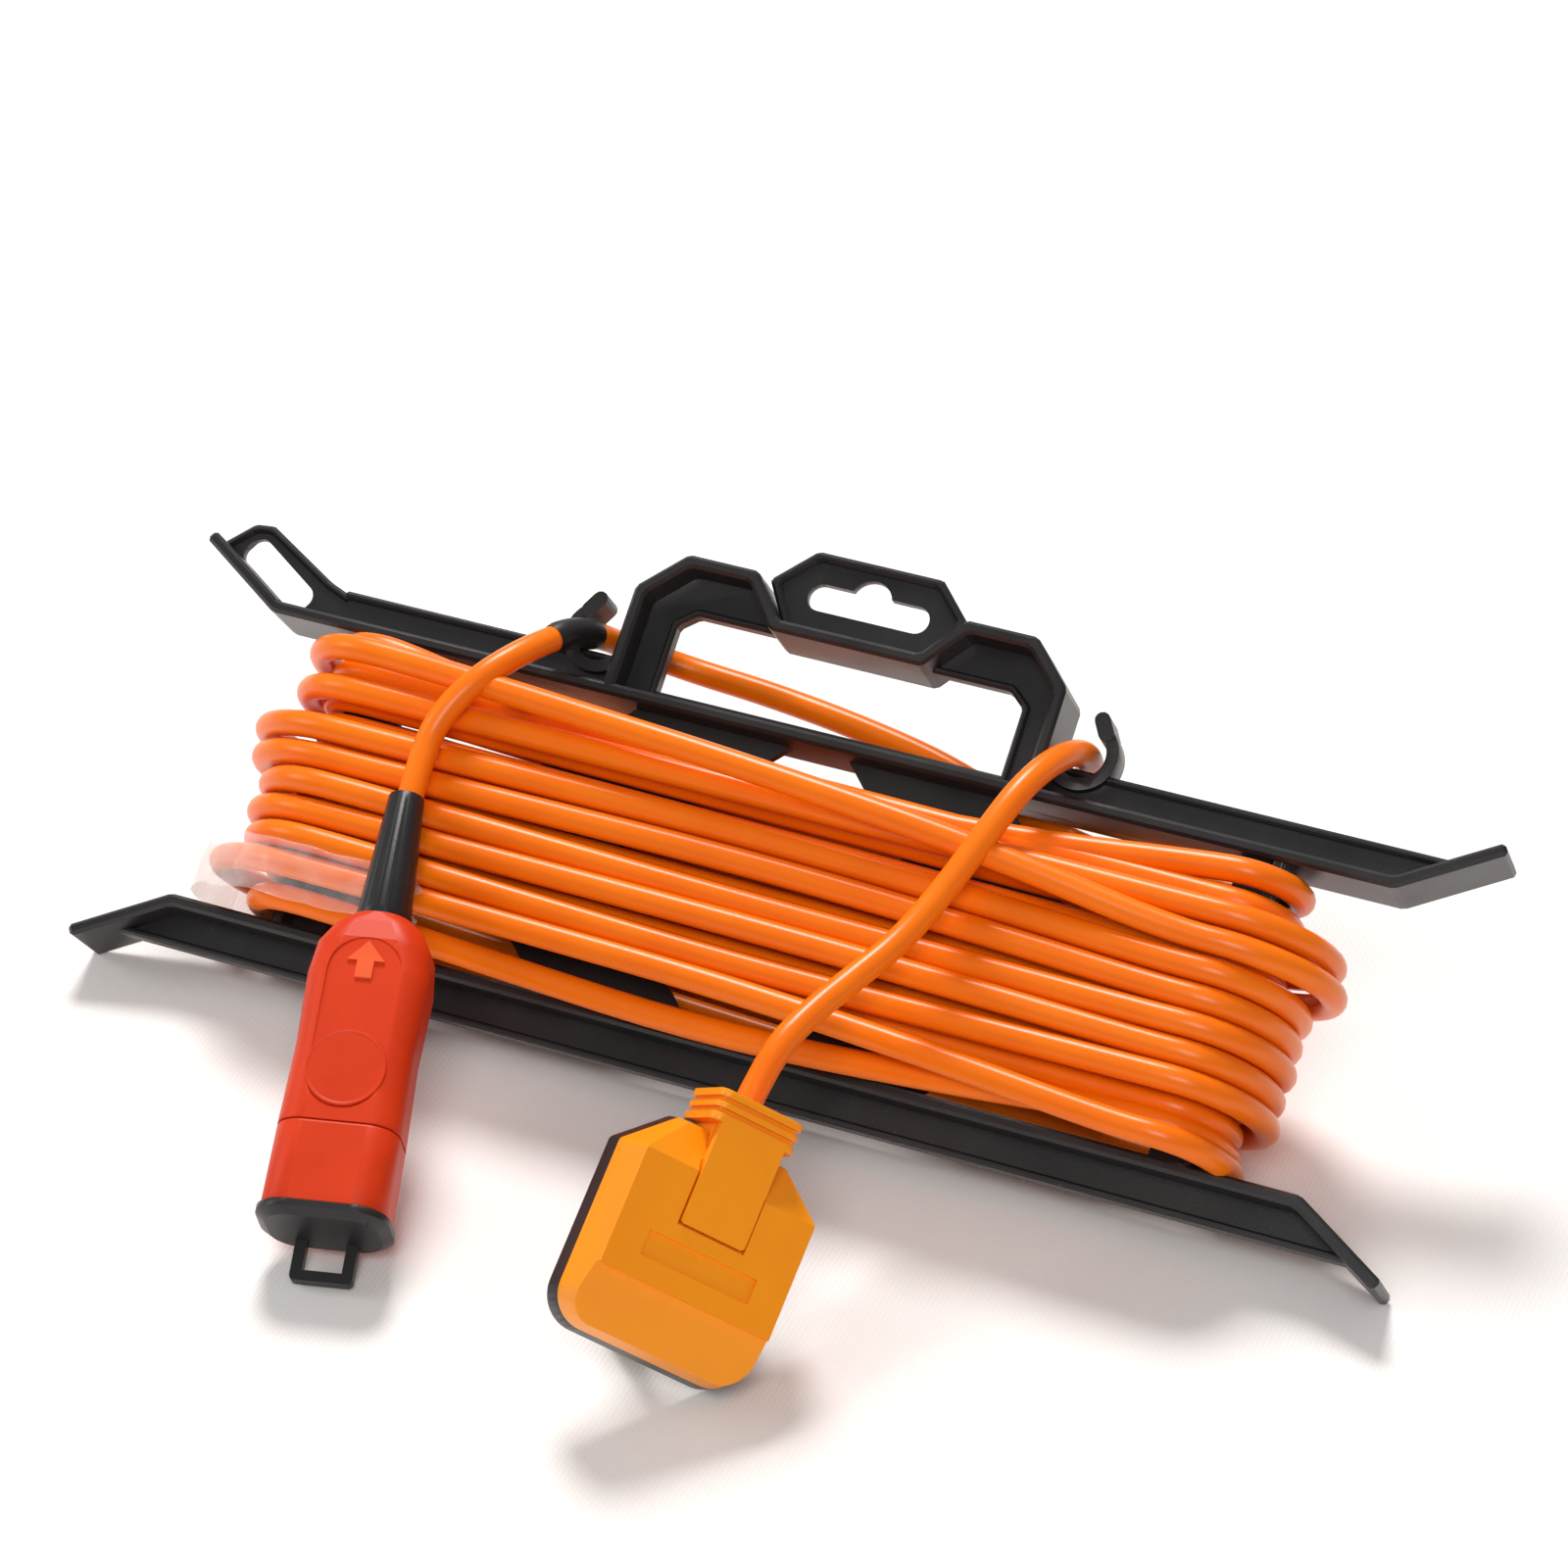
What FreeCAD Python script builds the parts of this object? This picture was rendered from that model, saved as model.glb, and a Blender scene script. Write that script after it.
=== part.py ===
import FreeCAD, Part
import math
import os

os.makedirs("parts", exist_ok=True)
V = FreeCAD.Vector
TAU = 2 * math.pi

# Cord holder, millimetres, in its own plane: u along it, v across it, n out of its face
LEAN_DEG = 38.4
RAIL_V = 36.75
RAIL_HALF = 142.5
HORN_END = (165.5, 50.75)
WALL = 3.0
RAIL_DEPTH = 9.3
RIM_BREAK = 0.8
WEB = 1.2
WEB_TOP = 47.05
BEAD_HIGH = 1.8
BEAD_DEPTH = 2.75
POST_U = 116.5
POST_DEPTH = 7.5
POST_WEB = 12.0
HANDLE_LEG = 55.0
HANDLE_SHOULDER = 64.5
HANDLE_TOP = 75.0
HANG_TOP = 85.0
HANG_SLOT_V = 74.2
HANG_SLOT_LENGTH = 31.0
HANG_SLOT_WIDTH = 6.8
HANG_BUMP_R = 5.2
HANG_BUMP_V = 76.0
CLIP = (61.5, 51.5)
CLIP_R = 6.0
CLIP_DEPTH = 3.8
EYE = (-147.7, 47.8)
EYE_TILT = -31.3
EYE_LENGTH = 23.0
EYE_WIDTH = 7.8
EYE_PLATE_U = 127.0
SMALL_ROD_R = 2.95

# Cord and its winding
CORD_R = 3.2
BEND_U = 109.0
INNER_N = 15.0
OUTER_N = 22.0
OUTER_BACK_N = 26.4
CORD_SIDES = 8
CORD_REACH = CORD_R * math.sqrt(TAU / CORD_SIDES / math.sin(TAU / CORD_SIDES))
INNER_TURNS = 9
OUTER_TURNS = 9
INNER_START_U = 85.0
INNER_START_V = 33.0
INNER_END_V = -33.2
OUTER_START_V = -32.4
OUTER_END_V = 32.4
OUTER_END_U = 0.0

# Poses of the two ends, in the holder's level axes before it is set on the floor
BOOT_TOP = (-82.9, -23.9, 22.3)
SOCKET_END = (-59.4, -116.6, -25.9)
SOCKET_FACE = (0.112, -0.461, 0.880)
PLUG_ORIGIN = (33.7, -127.3, -9.3)
PLUG_FACE = (0.640, -0.491, 0.594)
PLUG_CORDWARD = (0.067, 0.802, 0.593)


# Small helpers
def unit(v):
    return V(v).multiply(1 / V(v).Length)


def axes_place(origin, x, y, z):
    m = FreeCAD.Matrix(x.x, y.x, z.x, origin.x, x.y, y.y, z.y, origin.y, x.z, y.z, z.z, origin.z, 0, 0, 0, 1)
    return FreeCAD.Placement(m)


def placed(shape, place):
    result = shape.copy()
    result.Placement = place.multiply(result.Placement)
    return result


def prism(points, low, high):
    ring = [V(x, y, low) for x, y in points]
    return Part.Face(Part.makePolygon(ring + ring[:1])).extrude(V(0, 0, high - low))


def box(x, y, z):
    return Part.makeBox(x[1] - x[0], y[1] - y[0], z[1] - z[0], V(x[0], y[0], z[0]))


def rod(radius, start, end):
    # thin rods and small holes are twelve-sided, which keeps their facets few
    axis = V(*end) - V(*start)
    if radius > SMALL_ROD_R:
        return Part.makeCylinder(radius, axis.Length, V(*start), axis)
    across = V(0, 0, 1) if abs(axis.z) < abs(axis.y) or abs(axis.z) < abs(axis.x) else V(1, 0, 0)
    out = unit(axis.cross(across))
    across = unit(out.cross(axis))
    ring = [V(*start) + across * (radius * math.cos(TAU * i / 12)) + out * (radius * math.sin(TAU * i / 12)) for i in range(12)]
    return Part.Face(Part.makePolygon(ring + ring[:1])).extrude(axis)


def outline(corners, z):
    # closed wire through (x, y, radius) corners, each corner rounded
    edges = []
    ends = []
    count = len(corners)
    for i in range(count):
        before = V(corners[i - 1][0], corners[i - 1][1], z)
        here = V(corners[i][0], corners[i][1], z)
        after = V(corners[(i + 1) % count][0], corners[(i + 1) % count][1], z)
        a = unit(before - here)
        b = unit(after - here)
        half = a.getAngle(b) / 2
        cut = corners[i][2] / math.tan(half)
        middle = here + unit(a + b) * (corners[i][2] / math.sin(half) - corners[i][2])
        ends.append((here + a * cut, middle, here + b * cut))
    for i in range(count):
        edges.append(Part.Arc(*ends[i]).toShape())
        edges.append(Part.makeLine(ends[i][2], ends[(i + 1) % count][0]))
    return Part.Wire(edges)


def rounded_box(x, y, z, radius):
    corners = [(x[0], y[0], radius), (x[1], y[0], radius), (x[1], y[1], radius), (x[0], y[1], radius)]
    return Part.Face(outline(corners, z[0])).extrude(V(0, 0, z[1] - z[0]))


def mirrored(points):
    return [(-x, y) for x, y in reversed(points)]


def offset(points, distance):
    # open polyline moved to its left, mitred at the bends
    moved = []
    for i, (x, y) in enumerate(points):
        dirs = []
        if i > 0:
            dirs.append(unit(V(x - points[i - 1][0], y - points[i - 1][1], 0)))
        if i < len(points) - 1:
            dirs.append(unit(V(points[i + 1][0] - x, points[i + 1][1] - y, 0)))
        normals = [V(-d.y, d.x, 0) for d in dirs]
        mitre = unit(normals[0] + normals[-1])
        reach = distance / mitre.dot(normals[0])
        moved.append((x + mitre.x * reach, y + mitre.y * reach))
    return moved


def rim_broken(solid, depth, width):
    # both rims of a wall lose their sharp corner
    rims = [e for e in solid.Edges if all(abs(abs(v.Z) - depth) < 1e-6 for v in e.Vertexes)]
    return solid.makeChamfer(width, rims)


def wall(points, thickness, depth, rim):
    solid = prism(points + offset(points, thickness)[::-1], -depth, depth)
    return rim_broken(solid, depth, rim)


def rib_along(a, b, radius, depth):
    # a bar with round ends between two points of the plane
    length = math.dist(a, b)
    bar = box((0, length), (-radius, radius), (-depth, depth))
    bar = bar.fuse([rod(radius, (0, 0, -depth), (0, 0, depth)), rod(radius, (length, 0, -depth), (length, 0, depth))])
    turn = FreeCAD.Rotation(V(0, 0, 1), math.degrees(math.atan2(b[1] - a[1], b[0] - a[0])))
    return placed(bar, FreeCAD.Placement(V(a[0], a[1], 0), turn))


# Cord holder: two rails with horns, two posts, a lattice web, handle, hang plate, eye and two cord clips
def holder_rail(side):
    inner = [(-HORN_END[0], HORN_END[1]), (-RAIL_HALF, RAIL_V), (RAIL_HALF, RAIL_V), HORN_END]
    flange = wall(inner, WALL, RAIL_DEPTH, RIM_BREAK)
    pieces = []
    low = RAIL_V + WALL - 0.5
    spans = [(HANDLE_LEG - 1.5, 1), (HANDLE_LEG - 1.5, -1)] if side > 0 else [(-1.0, 1), (-1.0, -1)]
    for start, hand in spans:
        web = [(start, low), (143.0, low), (155.0, WEB_TOP), (start, WEB_TOP)]
        ends = (154.0, 157.0) if side < 0 or hand > 0 else (EYE_PLATE_U + 1.5, EYE_PLATE_U + 1.5)
        bead = [(start, WEB_TOP - BEAD_HIGH / 2), (ends[0], WEB_TOP - BEAD_HIGH / 2), (ends[1], WEB_TOP + BEAD_HIGH / 2), (start, WEB_TOP + BEAD_HIGH / 2)]
        pieces.append(prism([(u * hand, v) for u, v in web], -WEB, WEB))
        pieces.append(rim_broken(prism([(u * hand, v) for u, v in bead], -BEAD_DEPTH, BEAD_DEPTH), BEAD_DEPTH, 0.6))
    rail = flange.fuse(pieces)
    return rail if side > 0 else rail.mirror(V(), V(0, 1, 0))


def holder_handle():
    right = [(HANDLE_LEG, RAIL_V + 1), (HANDLE_LEG, HANDLE_SHOULDER), (44.5, HANDLE_TOP), (26.5, HANDLE_TOP), (18.0, HANDLE_SHOULDER)]
    arch = wall(right + mirrored(right), WALL, RAIL_DEPTH, RIM_BREAK)
    lining = [(53.5, RAIL_V + 2), (53.5, 64.0), (44.0, 73.5), (27.0, 73.5), (18.6, 63.4), (40.3, 63.4), (45.0, 59.5), (45.0, RAIL_V + 2)]
    bead_line = [(45.0, RAIL_V + 2), (45.0, 59.5), (40.3, 63.4), (17.5, 63.4)]
    pieces = []
    for hand in (1, -1):
        pieces.append(prism([(u * hand, v) for u, v in lining], -WEB, WEB))
        line = bead_line if hand > 0 else [(-u, v) for u, v in bead_line][::-1]
        pieces.append(wall(offset(line, -0.9), 1.8, 2.2, 0.6))
    pieces.append(prism([(-53.0, RAIL_V + 2), (53.0, RAIL_V + 2), (53.0, RAIL_V + 5.5), (-53.0, RAIL_V + 5.5)], -WEB, WEB))
    return arch.fuse(pieces)


def holder_hang_plate():
    edge = [(18.0, HANDLE_SHOULDER - 1), (25.5, HANDLE_TOP + 0.5), (16.0, HANG_TOP)]
    edge = edge + mirrored(edge)
    plate = prism(edge, -WEB, WEB)
    plate = plate.fuse(wall(edge, 2.2, 2.6, 0.8))
    half = HANG_SLOT_LENGTH / 2 - HANG_SLOT_WIDTH / 2
    slot = rib_along((-half, HANG_SLOT_V), (half, HANG_SLOT_V), HANG_SLOT_WIDTH / 2, 5)
    return plate.cut(slot.fuse(rod(HANG_BUMP_R, (0, HANG_BUMP_V, -5), (0, HANG_BUMP_V, 5))))


def holder_eye():
    edge = [(-EYE_PLATE_U, 47.0), (-133.2, 49.2), (-152.6, 59.6), (-157.6, 59.0), (-165.3, 51.6), (-142.0, 38.4), (-EYE_PLATE_U, 38.4)]
    plate = prism(edge, -WEB, WEB)
    return plate.fuse(wall(edge[:5], 2.0, 2.2, 0.7))


def eye_slot():
    slot = rounded_box((-EYE_LENGTH / 2, EYE_LENGTH / 2), (-EYE_WIDTH / 2, EYE_WIDTH / 2), (-5, 5), 3.0)
    return placed(slot, FreeCAD.Placement(V(*EYE, 0), FreeCAD.Rotation(V(0, 0, 1), EYE_TILT)))


def holder_clip(hand):
    u, v = CLIP
    ring = rod(CLIP_R + WALL, (u, v, -CLIP_DEPTH), (u, v, CLIP_DEPTH)).cut(rod(CLIP_R, (u, v, -9), (u, v, 9)))
    reach = 30.0
    mouth = [(u, v)] + [(u + reach * math.cos(math.radians(a)), v + reach * math.sin(math.radians(a))) for a in (52, 100, 150, 197)]
    clip = ring.cut(prism(mouth, -9, 9)).fuse(rib_along((66.1, 57.2), (64.2, 60.4), 1.9, CLIP_DEPTH + 0.6))
    return clip if hand > 0 else clip.mirror(V(), V(1, 0, 0))


def holder_posts_and_lattice():
    pieces = []
    for hand in (1, -1):
        post = box((POST_U - WALL, POST_U), (-RAIL_V - 0.5, RAIL_V + 0.5), (-POST_DEPTH, POST_DEPTH))
        rims = [e for e in post.Edges if abs(e.Vertexes[0].Y - e.Vertexes[1].Y) > 1]
        web = box((POST_U - POST_WEB, POST_U - 1), (-RAIL_V - 0.5, RAIL_V + 0.5), (-WEB, WEB))
        chevron = [(7.0, 37.2), (47.0, 37.2), (83.75, 0.0), (47.0, -37.2), (7.0, -37.2), (43.75, 0.0)]
        half = post.makeFillet(RIM_BREAK, rims).fuse([web, prism(chevron, -WEB, WEB)])
        pieces.append(half if hand > 0 else half.mirror(V(), V(1, 0, 0)))
    return pieces


def holder():
    parts = [holder_rail(-1), holder_handle(), holder_hang_plate(), holder_eye(), holder_clip(1), holder_clip(-1)]
    solid = holder_rail(1).fuse(parts + holder_posts_and_lattice()).cut(eye_slot())
    return solid.removeSplitter()


# Set the holder on the floor: leaned back, its own box centred over the origin
local_holder = holder()
lean = FreeCAD.Placement(V(), FreeCAD.Rotation(V(1, 0, 0), LEAN_DEG))
span = placed(local_holder, lean).optimalBoundingBox(False, False)
SET = V(-(span.XMin + span.XMax) / 2, -(span.YMin + span.YMax) / 2, -span.ZMin)
lean = FreeCAD.Placement(SET, FreeCAD.Rotation(V(1, 0, 0), LEAN_DEG))
print("holder set by", [round(c, 3) for c in SET], "box", [round(c, 2) for c in (span.XLength, span.YLength, span.ZLength)])
print("holder solids", len(local_holder.Solids), "valid", local_holder.isValid(), "volume", round(local_holder.Volume))


def level_to_local(point):
    # from the level axes to the holder's own u, v, n
    return FreeCAD.Rotation(V(1, 0, 0), -LEAN_DEG).multVec(V(*point))


# Cord paths: straight runs joined by tangent arcs
def route(name, points):
    edges = []
    radii = []
    last = points[0]
    for before, here, after in zip(points, points[1:], points[2:]):
        a = unit(here - before)
        b = unit(after - here)
        turn = a.getAngle(b)
        cut = 0.45 * min((here - before).Length, (after - here).Length)
        radius = cut / math.tan(turn / 2)
        radii.append(round(radius))
        start = here - a * cut
        end = here + b * cut
        middle = here + unit(b - a) * (radius / math.cos(turn / 2) - radius)
        edges.append(Part.makeLine(last, start))
        edges.append(Part.Arc(start, middle, end).toShape())
        last = end
    edges.append(Part.makeLine(last, points[-1]))
    print(name, "bend radii", radii)
    return edges


def swept(name, edges, radius, bore=0.0):
    # a many-sided section of the same area as the round one, flats toward its neighbours
    path = Part.Wire(edges)
    start = edges[0].valueAt(edges[0].FirstParameter)
    ahead = edges[0].tangentAt(edges[0].FirstParameter)
    across = unit(V(0, 1, 0) - ahead * ahead.y)
    out = ahead.cross(across)
    tubes = []
    for r in (radius, bore):
        reach = r * CORD_REACH / CORD_R
        ring = [start + across * (reach * math.cos(TAU * (i + 0.5) / CORD_SIDES)) + out * (reach * math.sin(TAU * (i + 0.5) / CORD_SIDES)) for i in range(CORD_SIDES)]
        if r:
            tubes.append(path.makePipeShell([Part.makePolygon(ring + ring[:1])], True, False))
    solid = tubes[0].cut(tubes[1]) if bore else tubes[0]
    area = math.pi * (radius ** 2 - bore ** 2)
    print(name, "length", round(path.Length, 1), "volume ratio", round(solid.Volume / (area * path.Length), 4), "valid", solid.isValid())
    return solid


def half_turn(p1, t1, p2, t2):
    # two tangent arcs from p1 heading t1 to p2 heading t2
    gap = p2 - p1
    both = t1 + t2
    turn = 2 * (1 - t1.dot(t2))
    reach = (-gap.dot(both) + math.sqrt(gap.dot(both) ** 2 + turn * gap.dot(gap))) / turn
    q1 = p1 + t1 * reach
    q2 = p2 - t2 * reach
    meet = (q1 + q2) * 0.5
    arcs = []
    for a, q, b in ((p1, q1, meet), (meet, q2, p2)):
        mid = (a + b) * 0.5
        half = (a - mid).Length
        lean_angle = math.acos(min(1, half / (a - q).Length))
        arcs.append(Part.Arc(a, mid + unit(q - mid) * (half * math.tan(lean_angle / 2)), b).toShape())
    return arcs


def winding_runs():
    # the straight runs in order, each as (start, end); back runs go +u, front runs go -u
    runs = []
    pitch_in = (INNER_START_V - INNER_END_V) / (INNER_TURNS + (BEND_U - INNER_START_U) / (2 * BEND_U))
    slope = pitch_in / (2 * BEND_U)
    v = INNER_START_V - slope * (BEND_U - INNER_START_U)
    runs.append((V(INNER_START_U, INNER_START_V, -INNER_N), V(BEND_U, v, -INNER_N)))
    for i in range(INNER_TURNS):
        runs.append((V(BEND_U, v, INNER_N), V(-BEND_U, v, INNER_N)))
        runs.append((V(-BEND_U, v, -INNER_N), V(BEND_U, v - pitch_in, -INNER_N)))
        v -= pitch_in
    v = OUTER_START_V
    pitch_out = (OUTER_END_V - OUTER_START_V) / OUTER_TURNS
    for i in range(OUTER_TURNS):
        runs.append((V(BEND_U, v, OUTER_N), V(-BEND_U, v + pitch_out, OUTER_N)))
        v += pitch_out
        runs.append((V(-BEND_U, v, -OUTER_BACK_N), V(BEND_U if i < OUTER_TURNS - 1 else OUTER_END_U, v, -OUTER_BACK_N)))
    print("winding pitches", round(pitch_in, 3), round(pitch_out, 3))
    return runs


def winding_edges():
    runs = winding_runs()
    edges = []
    for i, (a, b) in enumerate(runs):
        edges.append(Part.makeLine(a, b))
        if i + 1 < len(runs):
            c, d = runs[i + 1]
            edges += half_turn(b, unit(b - a), c, unit(d - c))
    return edges


def least_gap(edges):
    # nearest approach of the winding to itself, measured on points along its centre line
    points = []
    along = 0.0
    for e in edges:
        count = max(2, int(e.Length / 2.0))
        for i in range(count):
            t = e.FirstParameter + (e.LastParameter - e.FirstParameter) * i / count
            p = e.valueAt(t)
            points.append((p.x, p.y, p.z, along + e.Length * i / count))
        along += e.Length
    cells = {}
    for k, p in enumerate(points):
        cells.setdefault((int(p[0] // 9), int(p[1] // 9), int(p[2] // 9)), []).append(k)
    least = 99.0
    for key, members in cells.items():
        near = []
        for dx in (-1, 0, 1):
            for dy in (-1, 0, 1):
                for dz in (-1, 0, 1):
                    near += cells.get((key[0] + dx, key[1] + dy, key[2] + dz), [])
        for k in members:
            for j in near:
                if points[j][3] - points[k][3] > 40.0:
                    least = min(least, math.dist(points[j][:3], points[k][:3]))
    return least - 2 * CORD_R


winding_line = winding_edges()
print("winding least gap to itself", round(least_gap(winding_line), 2), "least bend radius", round(min(e.Curve.Radius for e in winding_line if hasattr(e.Curve, "Radius")), 1))
winding_solid = swept("winding", winding_line, CORD_R)
first_run = winding_line[0]
last_run = winding_line[-1]

# Frames of the two ends
socket_up = unit(V(*BOOT_TOP) - V(*SOCKET_END))
socket_face = unit(V(*SOCKET_FACE) - socket_up * V(*SOCKET_FACE).dot(socket_up))
SOCKET_LENGTH = (V(*BOOT_TOP) - V(*SOCKET_END)).Length
socket_place = axes_place(V(*SOCKET_END) + SET, socket_up.cross(socket_face), socket_up, socket_face)
plug_face = unit(V(*PLUG_FACE))
plug_cordward = unit(V(*PLUG_CORDWARD) - plug_face * V(*PLUG_CORDWARD).dot(plug_face))
plug_place = axes_place(V(*PLUG_ORIGIN) + SET, plug_cordward.cross(plug_face), plug_cordward, plug_face)

# Plug, in its own axes: x across, y toward the cord, z out of its outer face
PLUG_HALF = 24.0
PLUG_LOW = -14.0
PLUG_HIGH = 38.3
PLUG_BACK = -20.0
PLUG_PARTING = -13.0
SHOULDER_Y = 27.0
CHAMFER_X = 11.0
CHAMFER_Y = 10.0
CORD_Z = -12.0
COLLAR_TOP = 46.0
POCKET = 10.0
TONGUE_LOW = 15.1
EARTH = (0.0, 0.5)
LINE_Y = EARTH[1] + 22.2
LINE_X = 11.1
EARTH_LENGTH = 22.7
LINE_LENGTH = 17.7
SLEEVE_LENGTH = 9.5
FIT = 0.1


def plug_outline(inset, z):
    half = PLUG_HALF - inset
    cy = PLUG_HIGH - CHAMFER_Y - 0.443 * inset
    cx = PLUG_HALF - CHAMFER_X - 0.387 * inset
    big = max(8.5 - inset, 3.0)
    corners = [(-half, PLUG_LOW + inset, big), (half, PLUG_LOW + inset, big), (half, cy, 1.5), (cx, PLUG_HIGH - inset, 1.5), (-cx, PLUG_HIGH - inset, 1.5), (-half, cy, 1.5)]
    return outline(corners, z)


def plug_block(inset, drop, low):
    # the drafted cover form, its roof, shoulders and lower panel lowered by drop
    block = Part.makeLoft([plug_outline(0.4 + inset, low), plug_outline(2.5 + inset, -drop)], True, True)
    shoulder = [(SHOULDER_Y, -drop), (SHOULDER_Y + 22, -drop - 14), (SHOULDER_Y + 22, 9), (SHOULDER_Y, 9)]
    panel = [(0.0, 9), (0.0, -1.6 - drop), (-24.0, -12.0 - drop), (-24.0, 9)]
    for profile in (shoulder, panel):
        ring = [V(-40, y, z) for y, z in profile]
        block = block.cut(Part.Face(Part.makePolygon(ring + ring[:1])).extrude(V(80, 0, 0)))
    return block


def plug_sleeve():
    collar = box((-10.5, 10.5), (COLLAR_TOP - 7.2, COLLAR_TOP), (-18.6, 0.6))
    collar = collar.makeFillet(2.5, [e for e in collar.Edges if abs(e.Vertexes[0].Y - e.Vertexes[1].Y) > 1])
    core = box((-9.3, 9.3), (COLLAR_TOP - 8, COLLAR_TOP + 1), (-17.4, -0.6))
    for y in (COLLAR_TOP - 5.4, COLLAR_TOP - 2.9):
        collar = collar.cut(box((-12, 12), (y, y + 1.2), (-20, 2)).cut(core))
    neck = box((-7.5, 7.5), (32.9, COLLAR_TOP - 7), (-17.6, -4.5))
    flange = box((-9.0, 9.0), (32.9, 34.6), (-17.0, -10.2))
    stub = rod(3.9, (0, 24.0, CORD_Z), (0, 33.5, CORD_Z))
    tongue = box((-8.0, 8.0), (TONGUE_LOW, COLLAR_TOP - 6), (-1.7, 0.6))
    tongue = tongue.makeFillet(1.0, [e for e in tongue.Edges if abs(e.Vertexes[0].Z - e.Vertexes[1].Z) > 1 and e.Vertexes[0].Y < 16])
    web = box((-6.0, 6.0), (33.5, COLLAR_TOP - 6), (-5.0, -1.0))
    sleeve = collar.fuse([neck, flange, stub, tongue, web]).removeSplitter()
    return sleeve.cut(rod(CORD_REACH + FIT, (0, COLLAR_TOP + 1, CORD_Z), (0, COLLAR_TOP - POCKET, CORD_Z)))


def plug_base():
    levels = [plug_outline(1.5, PLUG_BACK), plug_outline(0.0, PLUG_BACK + 1.5), plug_outline(0.4, PLUG_PARTING)]
    base = Part.makeLoft(levels, True, True)
    posts = [rod(2.2, (x, 28.4, PLUG_PARTING - 1), (x, 28.4, CORD_Z + 3.9)) for x in (-7.2, 7.2)]
    base = base.fuse(posts)
    cuts = [box((-7.5 - FIT, 7.5 + FIT), (32.9 - FIT, 40), (-17.6 - FIT, 0)), box((-9.0 - FIT, 9.0 + FIT), (32.9 - FIT, 34.6 + FIT), (-17.0 - FIT, 0))]
    cuts.append(box((-4.1, 4.1), (23.8, 34), (-16.1, 0)))
    cuts.append(box((-2 - FIT, 2 + FIT), (EARTH[1] - 4 - FIT, EARTH[1] + 4 + FIT), (-30, 0)))
    for x in (-LINE_X, LINE_X):
        cuts.append(box((x - 3.175 - FIT, x + 3.175 + FIT), (LINE_Y - 2 - FIT, LINE_Y + 2 + FIT), (-30, 0)))
    cuts.append(rod(1.9, (0, 17.4, -30), (0, 17.4, 0)))
    cuts.append(rod(3.8, (0, 17.4, -30), (0, 17.4, -17.2)))
    for x in (-7.2, 7.2):
        cuts.append(rod(1.05, (x, 28.4, -14), (x, 28.4, 0)))
    return base.cut(cuts).removeSplitter()


def plug_cover():
    shell = plug_block(0.0, 0.0, PLUG_PARTING).cut(plug_block(2.3, 3.6, PLUG_PARTING - 0.01))
    boss = rod(3.0, (0, 17.4, -12.8), (0, 17.4, -3.0))
    shell = shell.fuse(boss)
    cuts = [box((-8.5, 8.5), (TONGUE_LOW - 0.6, 60), (-1.9, 5)), box((-13.7, 13.7), (5.1, 10.9), (-0.8, 5))]
    cuts.append(box((-7.5 - 2 * FIT, 7.5 + 2 * FIT), (32.9 - FIT, 60), (-30, 5)))
    cuts.append(rod(1.7, (0, 17.4, -30), (0, 17.4, -4.6)))
    return shell.cut(cuts).removeSplitter()


def pin_with_head(x, y, section, length, head, root=None):
    tip = PLUG_BACK - length
    blade = box((x - section[0] / 2, x + section[0] / 2), (y - section[1] / 2, y + section[1] / 2), (tip, PLUG_PARTING + 1))
    ends = [e for e in blade.Edges if all(abs(v.Z - tip) < 1e-6 for v in e.Vertexes)]
    blade = blade.makeChamfer(0.8, ends)
    if root:
        ring = box((x - 5, x + 5), (y - 5, y + 5), (PLUG_BACK - SLEEVE_LENGTH, PLUG_BACK))
        blade = blade.cut(ring.cut(box((x - root[0] / 2, x + root[0] / 2), (y - root[1] / 2, y + root[1] / 2), (-50, 0))))
    block = box((x - head[0] / 2, x + head[0] / 2), (y - head[1] / 2, y + head[1] / 2), (PLUG_PARTING, PLUG_PARTING + 4.6))
    return blade.fuse(block).removeSplitter().cut(rod(1.3, (x, y, PLUG_PARTING), (x, y, 0)))


def sleeve_ring(x, y, section, root):
    outer = box((x - section[0] / 2, x + section[0] / 2), (y - section[1] / 2, y + section[1] / 2), (PLUG_BACK - SLEEVE_LENGTH + FIT, PLUG_BACK))
    inner = box((x - root[0] / 2 - FIT / 2, x + root[0] / 2 + FIT / 2), (y - root[1] / 2 - FIT / 2, y + root[1] / 2 + FIT / 2), (-50, 0))
    return outer.cut(inner)


def slotted_screw(head_r, head_h, shank_r, length):
    # head on top at z 0 to head_h, shank below
    screw = rod(head_r, (0, 0, 0), (0, 0, head_h)).fuse(rod(shank_r, (0, 0, -length), (0, 0, 0))).removeSplitter()
    return screw.cut(box((-head_r * 1.2, head_r * 1.2), (-0.35, 0.35), (head_h * 0.5, head_h + 1)))


def at(shape, x, y, z, axis=(0, 0, 1)):
    return placed(shape, FreeCAD.Placement(V(x, y, z), FreeCAD.Rotation(V(0, 0, 1), V(*axis))))


nodes = {}
nodes["winding_frame"] = placed(local_holder, lean)
nodes["cord_winding"] = placed(winding_solid, lean)

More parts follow.
